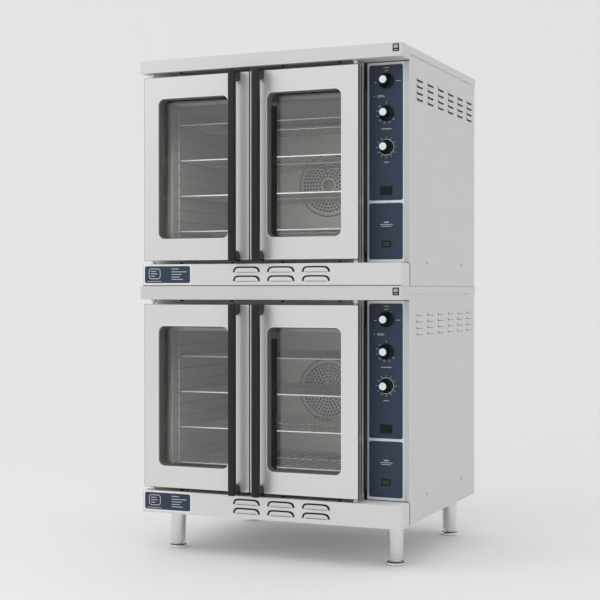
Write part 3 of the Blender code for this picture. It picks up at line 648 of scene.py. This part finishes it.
def nameplate(deck):
    """A plain plate with a plain emblem and rules, at the trim's left end."""
    place = deck_place(deck)
    border = Shape().plate(grown(NAMEPLATE, 0.0045), 0.007, -0.0007, -0.0001)
    border.piece(f"{deck}_nameplate_border", "bright_cap", place, BODY)
    plate = Shape().plate(NAMEPLATE, 0.006, -0.0012, -0.0001)
    plate.piece(f"{deck}_nameplate", "panel_blue", place, BODY, "panel_blue", bevel=0.0004)
    left, right, low, high = NAMEPLATE
    marks = Shape()
    emblem = (left + 0.016, left + 0.062, low + 0.014, high - 0.008)
    marks.plate(emblem, 0.010, -0.0014, -0.0011, grown(emblem, -0.0022), 0.008)
    for i, share in enumerate((0.55, 0.85, 0.70)):
        z = low + 0.024 + i * 0.0085
        start = left + 0.024
        marks.box((start, -0.0014, z - 0.0012), (start + 0.030 * share, -0.0011, z + 0.0012))
    for z, length in ((0.050, 0.028), (0.040, 0.058), (0.031, 0.040), (0.022, 0.032), (0.014, 0.044)):
        marks.box((right - 0.072, -0.0014, low + z - 0.0022), (right - 0.072 + length, -0.0011, low + z))
    marks.box((left + 0.010, -0.0014, low + 0.0050), (left + 0.066, -0.0011, low + 0.0066))
    marks.piece(f"{deck}_nameplate_marks", "print_white", place, BODY)


def cover_badge(deck):
    """A small plain square badge at the right end of the cover's face."""
    low, high = local_box(deck, "top_cover")
    rect = (0.4525, 0.4745, high.z - 0.0300, high.z - 0.0045)
    place = deck_place(deck)
    badge = Shape().plate(rect, 0.0025, -0.0012, -0.0001)
    badge.piece(f"{deck}_cover_badge", "knob_black", place, BODY, bevel=0.0004)
    left, right, low_z, high_z = grown(rect, -0.0034)
    inset = Shape().plate((left, right, low_z + 0.0070, high_z), 0.0040, -0.0014, -0.0010)
    inset.box((left + 0.001, -0.0014, low_z), (right - 0.001, -0.0010, low_z + 0.0030))
    inset.piece(f"{deck}_cover_badge_mark", "badge_grey", place, BODY)


# ---------------------------------------------------------------- controls


def control_panel(deck):
    """A bright sheet with two blue overlays and the pilot lamp."""
    low, high = local_box(deck, "control_panel")
    place = deck_place(deck)
    sheet = Shape()
    sheet.plate((low.x, high.x, low.z, high.z), 0.003, PANEL_FRONT, PANEL_FRONT + SHEET)
    node = f"{deck}_control_panel"
    sheet.piece(f"{deck}_panel_sheet", "panel_frame", place, BODY, "stainless", [node])
    overlays = Shape()
    for bottom, top in OVERLAYS_Z:
        rect = (OVERLAY_LEFT, OVERLAY_RIGHT, bottom, top)
        overlays.plate(rect, OVERLAY_ROUND, PANEL_FRONT - OVERLAY_PROUD, PANEL_FRONT)
    overlays.piece(f"{deck}_panel_overlays", "panel_blue", place, BODY, "panel_blue")
    pilot_lamp(deck)


def pilot_lamp(deck):
    """A green lens in a black bezel."""
    place = deck_place(deck)
    face = PANEL_FRONT - OVERLAY_PROUD
    bezel_rect = (DIAL_X - 0.0165, DIAL_X + 0.0165, PILOT_Z - 0.011, PILOT_Z + 0.011)
    lens_rect = (DIAL_X - 0.0115, DIAL_X + 0.0115, PILOT_Z - 0.0060, PILOT_Z + 0.0060)
    bezel = Shape().plate(bezel_rect, 0.002, face - 0.0018, face, lens_rect, 0.001)
    bezel.piece(f"{deck}_lamp_bezel", "knob_black", place, BODY, bevel=0.0004)
    lens = Shape().plate(lens_rect, 0.001, face - 0.0012, face)
    lens.piece(f"{deck}_lamp_lens", "lamp_lens", place, BODY)


def panel_screw(deck):
    """The screw that holds the panel's top edge."""
    top = local_box(deck, "control_panel")[1].z
    profile = ((0.0036, 0.0), (0.0034, 0.0010), (0.0020, 0.0018), (0.0001, 0.0020))
    screw = Shape().lathe(profile, (DIAL_X - 0.002, PANEL_FRONT, top - 0.0058), (0, -1, 0), 20)
    screw.piece(f"{deck}_panel_screw", "knob_black", deck_place(deck), BODY)


def rule(shape, x, z, width, height=0.0016):
    """One bar of print, centred on (x, z)."""
    face = PANEL_FRONT - OVERLAY_PROUD
    shape.box((x - width / 2, face - PRINT_PROUD, z - height / 2), (x + width / 2, face, z + height / 2))


def tick(shape, centre, angle, inner, outer, width=0.0012):
    """A short line pointing away from a dial's centre; the angle is clockwise from the top."""
    face = PANEL_FRONT - OVERLAY_PROUD
    turn = Matrix.Rotation(math.radians(angle), 4, "Y")
    size = Vector((width, PRINT_PROUD, outer - inner))
    middle = Matrix.Translation((centre[0], face - PRINT_PROUD / 2, centre[1])) @ turn
    place = middle @ Matrix.Translation((0, 0, (inner + outer) / 2)) @ Matrix.Diagonal((*size, 1))
    bmesh.ops.create_cube(shape.bm, size=1, matrix=place)


def on_dial(centre, angle, radius):
    """The point at a clockwise angle from the top of a dial."""
    turn = math.radians(angle)
    face = PANEL_FRONT - OVERLAY_PROUD - PRINT_PROUD / 2
    return Vector((centre[0] + radius * math.sin(turn), face, centre[1] + radius * math.cos(turn)))


def panel_print(deck, dials):
    """Rules, ticks and plain figures round the three dials, with no words."""
    selector, thermostat, timer = dials
    shape = Shape()
    rule(shape, DIAL_X, selector + 0.0435, 0.020)
    rule(shape, DIAL_X, selector + 0.0332, 0.014)
    rule(shape, DIAL_X - 0.0385, selector - 0.004, 0.009)
    rule(shape, DIAL_X + 0.0415, selector - 0.002, 0.016)
    rule(shape, DIAL_X - 0.042, selector - 0.050, 0.003, 0.003)
    rule(shape, DIAL_X - 0.021, selector - 0.048, 0.022)
    rule(shape, DIAL_X - 0.019, selector - 0.052, 0.026)
    shape.words("0", 0.0085, on_dial((DIAL_X, thermostat), 0, 0.0335))
    for i in range(7):
        angle = 130 + i * 31
        tick(shape, (DIAL_X, thermostat), angle, 0.0270, 0.0285)
        shape.words(str(100 + 50 * i), 0.0060, on_dial((DIAL_X, thermostat), angle, 0.0325))
    for i in range(12):
        angle = i * 30
        tick(shape, (DIAL_X, timer), angle, 0.0280, 0.0300)
        shape.words(str(5 * i), 0.0055, on_dial((DIAL_X, timer), angle, 0.0340))
    rule(shape, DIAL_X, thermostat - 0.0520, 0.036, 0.0022)
    rule(shape, DIAL_X, timer - 0.0495, 0.018, 0.0022)
    rule(shape, DIAL_X, 0.2120, 0.017, 0.0034)
    rule(shape, DIAL_X, 0.2045, 0.044, 0.0020)
    rule(shape, DIAL_X, 0.1985, 0.034, 0.0020)
    shape.piece(f"{deck}_panel_print", "print_white", deck_place(deck), BODY)


def knob(deck, name):
    """A black knob with a flared skirt, a tapered grip, a bright cap and a mark; returns its height."""
    low, high = local_box(deck, name)
    x, z = (low.x + high.x) / 2, (low.z + high.z) / 2
    face = PANEL_FRONT - OVERLAY_PROUD - 0.0004
    body = f"{deck}_{name}"
    place = deck_place(deck)
    profile = (
        (0.0250, 0.0),
        (0.0255, 0.0010),
        (0.0255, 0.0045),
        (0.0245, 0.0060),
        (0.0195, 0.0085),
        (0.0180, 0.0110),
        (0.0150, 0.0330),
        (0.0143, 0.0350),
        (0.0128, 0.0358),
    )
    grip = Shape().lathe(profile, (x, face, z), (0, -1, 0))
    grip.piece(f"{body}_grip", "knob_black", place, body, "knob_black", [body])
    cap_profile = (
        (CAP_RADIUS, 0.0350),
        (CAP_RADIUS, 0.0368),
        (CAP_RADIUS - 0.0008, 0.0376),
        (CAP_RADIUS * 0.5, 0.0381),
        (0.0002, 0.0382),
    )
    cap = Shape().lathe(cap_profile, (x, face, z), (0, -1, 0))
    cap.piece(f"{body}_cap", "bright_cap", place, body)
    mark = Shape().box((x - 0.0008, face - 0.0064, z + 0.0200), (x + 0.0008, face - 0.0056, z + 0.0240))
    mark.piece(f"{body}_mark", "print_white", place, body)
    return z


def timer_ring(deck, z):
    """The thin bright ring round the timer's knob."""
    face = PANEL_FRONT - OVERLAY_PROUD
    profile = ((0.0256, 0), (0.0270, 0), (0.0270, 0.0008), (0.0256, 0.0008))
    angles = [math.tau * i / ROUND_STEPS for i in range(ROUND_STEPS)]
    loops = [
        [(DIAL_X + radius * math.cos(turn), face - height, z + radius * math.sin(turn)) for turn in angles]
        for radius, height in profile
    ]
    Shape().tube(loops).piece(f"{deck}_timer_ring", "bright_cap", deck_place(deck), BODY)


def rocker_switch(deck):
    """A paddle with a shallow valley down its middle, in a bezel."""
    low, high = local_box(deck, "rocker_switch")
    body = f"{deck}_rocker_switch"
    place = deck_place(deck)
    rect = (low.x, high.x, low.z, high.z)
    paddle = Shape()
    middle = (low.x + high.x) / 2
    outline = ((low.x, low.y), (middle, low.y + 0.0012), (high.x, low.y), (high.x, high.y), (low.x, high.y))
    paddle.skin([[(x, y, z) for x, y in outline] for z in (low.z, high.z)])
    paddle.piece(f"{body}_paddle", "knob_black", place, body, "knob_black", [body], 0.0005)
    face = PANEL_FRONT - OVERLAY_PROUD
    bezel = Shape().plate(grown(rect, 0.0030), 0.003, face - 0.0014, face, grown(rect, 0.0010), 0.001)
    bezel.piece(f"{deck}_rocker_bezel", "knob_black", place, BODY, bevel=0.0003)


def controls(deck):
    """The control panel with its knobs, its print and its switch."""
    control_panel(deck)
    panel_screw(deck)
    dials = [knob(deck, name) for name in ("selector_knob", "thermostat_knob", "timer_knob")]
    panel_print(deck, dials)
    timer_ring(deck, dials[2])
    rocker_switch(deck)


# ---------------------------------------------------------------- doors


def door(deck, side):
    """A door's pans, window and handle, all riding on its hinge."""
    low, high = local_box(deck, f"{side}_door_shell")
    rect = (low.x, high.x, low.z + PIN_LENGTH, high.z - PIN_LENGTH)
    window = window_rect(deck, side)
    door_pans(deck, side, rect, window)
    door_window(deck, side, window)
    if side == "right":
        # A black strip of painted shade in the right window's left jamb.
        jamb_shade_strip(deck, window)
    hinge_pins(deck, side, rect)
    handle(deck, side)


def door_pans(deck, side, rect, window):
    """The outer and inner pans, the dark seam between them, and the band at the front edge."""
    body = f"{deck}_{side}_door"
    back = local_box(deck, f"{side}_door_shell")[1].y
    place = deck_place(deck)
    outer = Shape().plate(rect, DOOR_CORNER, 0, OUTER_PAN, window, WINDOW_RADIUS)
    outer.piece(f"{body}_outer_pan", "door_steel", place, body, "stainless", [f"{body}_shell"], 0.0008)
    inner_rect, inner_window = grown(rect, -INNER_INSET), grown(window, INNER_WINDOW_MARGIN)
    inner = Shape().plate(inner_rect, DOOR_CORNER, OUTER_PAN + SEAM, back, inner_window, WINDOW_RADIUS)
    inner.piece(f"{body}_inner_pan", "side_steel", place, body, "stainless", bevel=0.0012)
    front, end = OUTER_PAN - 0.001, OUTER_PAN + SEAM + 0.001
    core = Shape().plate(grown(rect, -0.0006), DOOR_CORNER, front, end, grown(rect, -0.0150), DOOR_CORNER)
    core.piece(f"{body}_seam", "void", place, body)
    band = Shape().plate(grown(rect, 0.0007), DOOR_CORNER, *EDGE_BAND, grown(rect, -0.0010), DOOR_CORNER)
    band.piece(f"{body}_edge_band", "rubber", place, body)


def door_window(deck, side, window):
    """The window's bright lip, a lining in its jamb painted dark grey as steel in shade, and two panes."""
    body = f"{deck}_{side}_door"
    place = deck_place(deck)
    lip_outer, lip_inner = grown(window, WINDOW_LIP), grown(window, 0.0004)
    lip = Shape().plate(lip_outer, WINDOW_RADIUS + WINDOW_LIP, -0.0010, 0.0006, lip_inner, WINDOW_RADIUS)
    lip.piece(f"{body}_window_lip", "bright_cap", place, body, "stainless", bevel=0.0005)
    # The jamb's lining between the lip and the panes, painted dark grey as steel in shade.
    shaded_jamb = Shape().plate(
        grown(window, 0.0010), WINDOW_RADIUS, 0.004, PANE_FRONTS[0] - 0.0003,
        grown(window, -SHADED_JAMB_WIDTH), WINDOW_RADIUS - SHADED_JAMB_WIDTH,
    )
    shaded_jamb.piece(f"{body}_gasket", "shaded_jamb_grey", place, body, bevel=0.0005)
    panes = Shape()
    for front in PANE_FRONTS:
        panes.plate(grown(window, -0.0005), WINDOW_RADIUS - 0.001, front, front + PANE)
    panes.piece(f"{body}_panes", "window_glass", place, body, "window_glass", [f"{body}_glass"])


def jamb_shade_strip(deck, window):
    """A black strip behind the right door's glass, beside the meeting edges: painted shade, standing for
    the shadow in the window's left jamb.
    """
    body = f"{deck}_right_door"
    back = PANE_FRONTS[1] + PANE + 0.0003
    left, _, bottom, top = window
    strip = Shape().box((left - 0.004, back, bottom), (left + 0.0140, back + 0.009, top - 0.040))
    strip.piece(f"{body}_jamb_shade_strip", "rubber", deck_place(deck), body, bevel=0.001)


def hinge_pins(deck, side, rect):
    """The pins that stand out of a door's top and bottom."""
    body = f"{deck}_{side}_door"
    low, high = local_box(deck, f"{side}_door_shell")
    _, _, bottom, top = rect
    x = hinge_x(deck, side)
    pins = Shape()
    pins.rod((x, HINGE_Y, low.z), (x, HINGE_Y, bottom + 0.002), 0.004)
    pins.rod((x, HINGE_Y, top - 0.002), (x, HINGE_Y, high.z), 0.004)
    pins.piece(f"{body}_pins", "chrome_wire", deck_place(deck), body, "chrome_wire")


def handle(deck, side):
    """A straight grip with rounded edges, and a curved foot at each end."""
    body = f"{deck}_{side}_door"
    low, high = local_box(deck, f"{side}_door_handle")
    grip = Shape()
    left, right = low.x - GRIP_MARGINS[side][0], high.x + GRIP_MARGINS[side][1]
    section = rounded_loop((left, right, low.y, low.y + GRIP_THICKNESS), GRIP_ROUND)
    x_middle, y_middle = (left + right) / 2, low.y + GRIP_THICKNESS / 2
    ends = [(low.z + inset, shrink) for inset, shrink in GRIP_ENDS]
    ends += [(high.z - inset, shrink) for inset, shrink in GRIP_ENDS[::-1]]
    grip.skin([
        [(x_middle + (x - x_middle) * shrink, y_middle + (y - y_middle) * shrink, z) for x, y in section]
        for z, shrink in ends
    ])
    grip_back = low.y + GRIP_THICKNESS - 0.003
    for end, sign in ((low.z, 1), (high.z, -1)):
        outline = foot_outline(grip_back, high.y, end, sign)
        grip.prism(outline, low.x + 0.0010, high.x - 0.0010)
    place = deck_place(deck)
    grip.piece(f"{body}_grip", "handle_black", place, body, "handle_black", [f"{body}_handle"], 0.0015)


def foot_outline(front, back, end, sign):
    """The (y, z) outline of a handle's foot, which narrows in a curve towards the door."""
    outline = [(back, end + sign * 0.001), (front, end + sign * 0.001), (front, end + sign * FOOT_HEIGHT)]
    reach, rise = back - front, FOOT_HEIGHT - FOOT_TIP
    for i in range(CORNER_STEPS + 1):
        angle = math.pi / 2 * (1 - i / CORNER_STEPS)
        y = front + 0.35 * reach + 0.65 * reach * math.cos(angle)
        outline.append((y, end + sign * (FOOT_TIP + rise * math.sin(angle))))
    return outline


# ---------------------------------------------------------------- cavity


def rack(deck, number):
    """A front bar in the bright chrome, painted as the light it catches, then a rim, a cross wire and fine
    wires from front to back in a darker grey copy of the chrome, painted as shade.
    """
    body = f"{deck}_rack_{number}"
    low, high = local_box(deck, f"rack_{number}")
    z = (low.z + high.z) / 2
    left, right = low.x + RIM_RADIUS, high.x - RIM_RADIUS
    front, back = low.y + RIM_RADIUS, high.y - RIM_RADIUS
    # The front bar takes the bright chrome: painted light.
    rim = Shape().rod((left, front, z), (right, front, z), RIM_RADIUS, sides=12)
    rim.piece(f"{body}_rim", "chrome_wire", deck_place(deck), body, "chrome_wire", [body])
    # The rest of the rack takes the darker copy of the chrome: painted shade.
    wires = Shape()
    wires.rod((left, back, z), (right, back, z), RIM_RADIUS, sides=12)
    for x in (left, right):
        wires.rod((x, front, z), (x, back, z), RIM_RADIUS, sides=12)
    for i in range(CROSS_WIRES):
        y = front + (back - front) * (i + 1) / (CROSS_WIRES + 1)
        wires.rod((left, y, z - 0.0008), (right, y, z - 0.0008), WIRE_RADIUS, sides=8)
    for i in range(1, WIRES):
        x = left + (right - left) * i / WIRES
        wires.rod((x, front, z + 0.0010), (x, back, z + 0.0010), WIRE_RADIUS, sides=8)
    wires.piece(f"{body}_wires", "shaded_wire_grey", deck_place(deck), body, "chrome_wire")


def rack_guide(deck, side):
    """Three posts and a rail under each rack slot, all of round rod."""
    node = f"rack_guide_{side}"
    low, high = local_box(deck, node)
    wall_x, rail_x = low.x + 0.0026, high.x - 0.0026
    if side == "right":
        wall_x, rail_x = rail_x, wall_x
    posts = Shape()
    for y in (low.y - 0.0265, low.y + 0.0270, high.y - 0.0085):
        posts.rod((wall_x, y, low.z), (wall_x, y, high.z), GUIDE_ROD, sides=10)
    posts.piece(f"{deck}_{node}_posts", "post_steel", deck_place(deck), BODY, "chrome_wire")
    first = local_box(deck, "rack_1")[0].z
    pitch = (first - local_box(deck, "rack_2")[0].z) / 3
    top_slot = first + (pitch if deck == "lower" else 0)
    rails = Shape()
    for i in range(GUIDE_SLOTS):
        z = top_slot - i * pitch - 0.0003 - GUIDE_ROD
        rails.rod((rail_x, low.y, z), (rail_x, high.y, z), GUIDE_ROD, sides=10)
    rails.piece(
        f"{deck}_{node}_rails", "guide_steel", deck_place(deck), BODY, "chrome_wire", [f"{deck}_{node}"]
    )


def fan_baffle(deck):
    """The panel in front of the fan, with a round pressed grille of small holes."""
    low, high = local_box(deck, "fan_baffle")
    wheel_low, wheel_high = local_box(deck, "fan_wheel")
    x, z = (wheel_low.x + wheel_high.x) / 2, (wheel_low.z + wheel_high.z) / 2
    place = deck_place(deck)
    node = f"{deck}_fan_baffle"
    panel = Shape()
    panel.box((low.x, low.y, low.z), (high.x, low.y + SHEET, high.z))
    for left in (low.x, high.x - SHEET):
        panel.box((left, low.y + SHEET, low.z), (left + SHEET, high.y, high.z))
    for bottom in (low.z, high.z - SHEET):
        panel.box((low.x + SHEET, low.y + SHEET, bottom), (high.x - SHEET, high.y, bottom + SHEET))
    panel.piece(f"{deck}_baffle_panel", "cavity_steel", place, BODY, "cavity_steel", [node], 0.0005)
    rim = ((DISC_RADIUS, 0), (DISC_RADIUS - 0.001, 0.0018), (DISC_RADIUS - 0.006, 0.0024), (0.0001, 0.0024))
    disc = Shape().lathe(rim, (x, low.y, z), (0, -1, 0), 64)
    disc.piece(f"{deck}_baffle_disc", "cavity_steel", place, BODY, "cavity_steel")
    baffle_label(deck, low.y)
    baffle_holes(deck, (x, low.y, z))
    baffle_hub(deck, (x, low.y, z))


def baffle_label(deck, face):
    """A plain outlined label with one bar."""
    left, right, bottom, _ = LABEL
    label = Shape().plate(LABEL, 0.002, face - 0.0006, face, grown(LABEL, -0.0022), 0.001)
    label.box((left + 0.008, face - 0.0006, bottom + 0.0085), (right - 0.008, face, bottom + 0.0115))
    label.piece(f"{deck}_baffle_label", "label_grey", deck_place(deck), BODY)


def baffle_holes(deck, centre):
    """Rings of holes, and the dark line round the disc's edge."""
    x, face, z = centre
    line = ((DISC_RADIUS + 0.0032, 0), (DISC_RADIUS + 0.0032, 0.0006), (0.0001, 0.0006))
    holes = Shape().lathe(line, centre, (0, -1, 0), 64)
    front = face - 0.0022
    for radius in HOLE_RADII:
        count = round(math.tau * radius / HOLE_PITCH)
        for i in range(count):
            angle = math.tau * (i + 0.5 * (count % 2)) / count
            hole_x, hole_z = x + radius * math.cos(angle), z + radius * math.sin(angle)
            holes.rod((hole_x, front, hole_z), (hole_x, front - 0.0005, hole_z), HOLE_RADIUS, sides=8)
    holes.piece(f"{deck}_baffle_holes", "void", deck_place(deck), BODY)


def baffle_hub(deck, centre):
    """The hub at the disc's middle and the light streak above it."""
    x, face, z = centre
    profile = ((HUB_RADIUS, 0.0020), (HUB_RADIUS, 0.0050), (HUB_RADIUS - 0.002, 0.0062), (0.0001, 0.0062))
    hub = Shape().lathe(profile, centre, (0, -1, 0))
    hub.piece(f"{deck}_baffle_hub", "hub_grey", deck_place(deck), BODY)
    low, high = z + HUB_RADIUS + 0.002, z + HOLE_RADII[-1]
    spoke = Shape().box((x - 0.0025, face - 0.0034, low), (x + 0.0025, face - 0.0024, high))
    spoke.piece(f"{deck}_baffle_spoke", "label_grey", deck_place(deck), BODY)


def cavity(deck):
    """Everything inside the doors."""
    paint(f"{deck}_cavity_liner", "cavity_steel")
    paint(f"{deck}_fan_wheel", "fan_steel")
    paint(f"{deck}_fan_motor", "motor_grey")
    paint(f"{deck}_heating_element", "heater_dark")
    for number in range(1, 5):
        rack(deck, number)
    for side in ("left", "right"):
        rack_guide(deck, side)
    fan_baffle(deck)


# ---------------------------------------------------------------- legs


def leg(node):
    """A tapered leg with a fixing flange, an adjustable foot and a dark washer on it."""
    low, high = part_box(node)
    centre = Vector(((low.x + high.x) / 2, (low.y + high.y) / 2, 0))
    top = high.z
    profile = (
        (0.0300, 0.0),
        (0.0330, 0.0015),
        (0.0332, 0.0050),
        (0.0322, 0.0075),
        (0.0270, 0.0100),
        (0.0180, 0.0115),
        (0.0165, 0.0130),
        (0.0165, 0.0185),
        (0.0225, 0.0190),
        (0.0243, 0.0200),
        (0.0250, 0.0220),
        (0.0275, top - 0.012),
        (0.0275, top - 0.004),
        (0.0400, top - 0.0038),
        (0.0400, top),
    )
    shape = Shape().lathe(profile, centre)
    shape.piece(f"{node}_turned", "leg_steel", (0, 0, 0), BODY, "stainless", [node])
    ring = ((0.0288, 0.0090), (0.0286, 0.0099), (0.0245, 0.0114), (0.0235, 0.0102))
    washer = Shape().lathe(ring, centre)
    washer.piece(f"{node}_washer", "rubber", (0, 0, 0), BODY)


# ---------------------------------------------------------------- stage


def build_stage():
    """A pale seamless sweep that runs under the oven and up behind it."""
    yaw = math.radians(CAMERA_YAW)
    ahead = Vector((-math.sin(yaw), math.cos(yaw), 0))
    side = Vector((math.cos(yaw), math.sin(yaw), 0))
    bend, start, end, height, steps = 2.5, -9.0, 3.2, 9.0, 12
    line = [(start, 0.0)]
    for i in range(steps + 1):
        angle = math.pi / 2 * i / steps
        line.append((end + bend * math.sin(angle), bend * (1 - math.cos(angle))))
    line.append((end + bend, height))
    bm = bmesh.new()
    rows = [
        [bm.verts.new(ahead * d + side * s + Vector((0, 0, z))) for s in (-12.0, 12.0)]
        for d, z in line
    ]
    for a, b in zip(rows, rows[1:]):
        bm.faces.new((a[0], a[1], b[1], b[0]))
    bmesh.ops.recalc_face_normals(bm, faces=bm.faces)
    mesh = bpy.data.meshes.new("sweep")
    bm.to_mesh(mesh)
    bm.free()
    mesh.shade_smooth()
    material, _, shader = new_material("sweep_paper")
    set_inputs(shader, Roughness=0.85)
    shader.inputs["Base Color"].default_value = (0.94, 0.94, 0.94, 1)
    mesh.materials.append(material)
    sweep = bpy.data.objects.new("sweep", mesh)
    bpy.context.scene.collection.objects.link(sweep)


def area_light(name, place, target, size, power):
    """A rectangular lamp at place that shines at target."""
    light = bpy.data.lights.new(name, "AREA")
    light.shape = "RECTANGLE"
    light.size, light.size_y = size
    light.energy = power
    obj = bpy.data.objects.new(name, light)
    obj.location = place
    obj.rotation_euler = (Vector(target) - Vector(place)).to_track_quat("-Z", "Y").to_euler()
    bpy.context.scene.collection.objects.link(obj)


def light_and_camera():
    """Soft studio light, a lamp in each cavity, and the camera."""
    world = bpy.data.worlds.new("studio")
    world.use_nodes = True
    background = world.node_tree.nodes["Background"]
    background.inputs["Color"].default_value = (1.0, 1.0, 1.0, 1)
    background.inputs["Strength"].default_value = 0.80
    bpy.context.scene.world = world
    area_light("key", (-4.2, -3.4, 3.8), (0, 0, 0.8), (3.0, 3.0), 38)
    area_light("floor_fill", (0.2, -2.6, 3.3), (0.2, -2.2, 0), (1.6, 1.6), 13)
    for deck in DECKS:
        low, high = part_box(f"{deck}_cavity_liner")
        middle = (low.x + high.x) / 2
        lamp = Vector((middle, low.y + 0.012, (low.z + high.z) / 2 - LAMP_DROP))
        area_light(f"{deck}_cavity_lamp", lamp, lamp + Vector((0, 1, -0.1)), LAMP_SIZE, LAMP_POWER[deck])
    bpy.context.scene.view_settings.view_transform = "Standard"
    data = bpy.data.cameras.new("camera")
    data.lens = CAMERA_LENS
    data.sensor_width = 36
    camera = bpy.data.objects.new("camera", data)
    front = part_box("upper_top_cover")[0].y
    camera.location = CAMERA_PLACE + Vector((0, front, 0))
    camera.rotation_euler = (math.radians(90 + CAMERA_PITCH), 0, math.radians(CAMERA_YAW))
    bpy.context.scene.collection.objects.link(camera)
    bpy.context.scene.camera = camera


# ---------------------------------------------------------------- build

MATERIALS = make_materials()
for deck in DECKS:
    # The cover takes the darker copy of the steel, painted shade.
    softened(f"{deck}_top_cover", "cover_steel_painted_shade", "stainless", 0.0006)
    softened(f"{deck}_side_panel_left", "side_steel", "stainless")
    softened(f"{deck}_rear_panel", "side_steel", "stainless")
    softened(f"{deck}_front_frame", "side_steel", "stainless")
    base_trim(deck)
    side_panel_right(deck)
    door_seal(deck)
    seams_and_painted_light(deck)
    gap_fittings(deck)
    nameplate(deck)
    cover_badge(deck)
    controls(deck)
    door(deck, "left")
    door(deck, "right")
    cavity(deck)
for row in ("front", "rear"):
    for side in ("left", "right"):
        leg(f"leg_{row}_{side}")
build_stage()
light_and_camera()
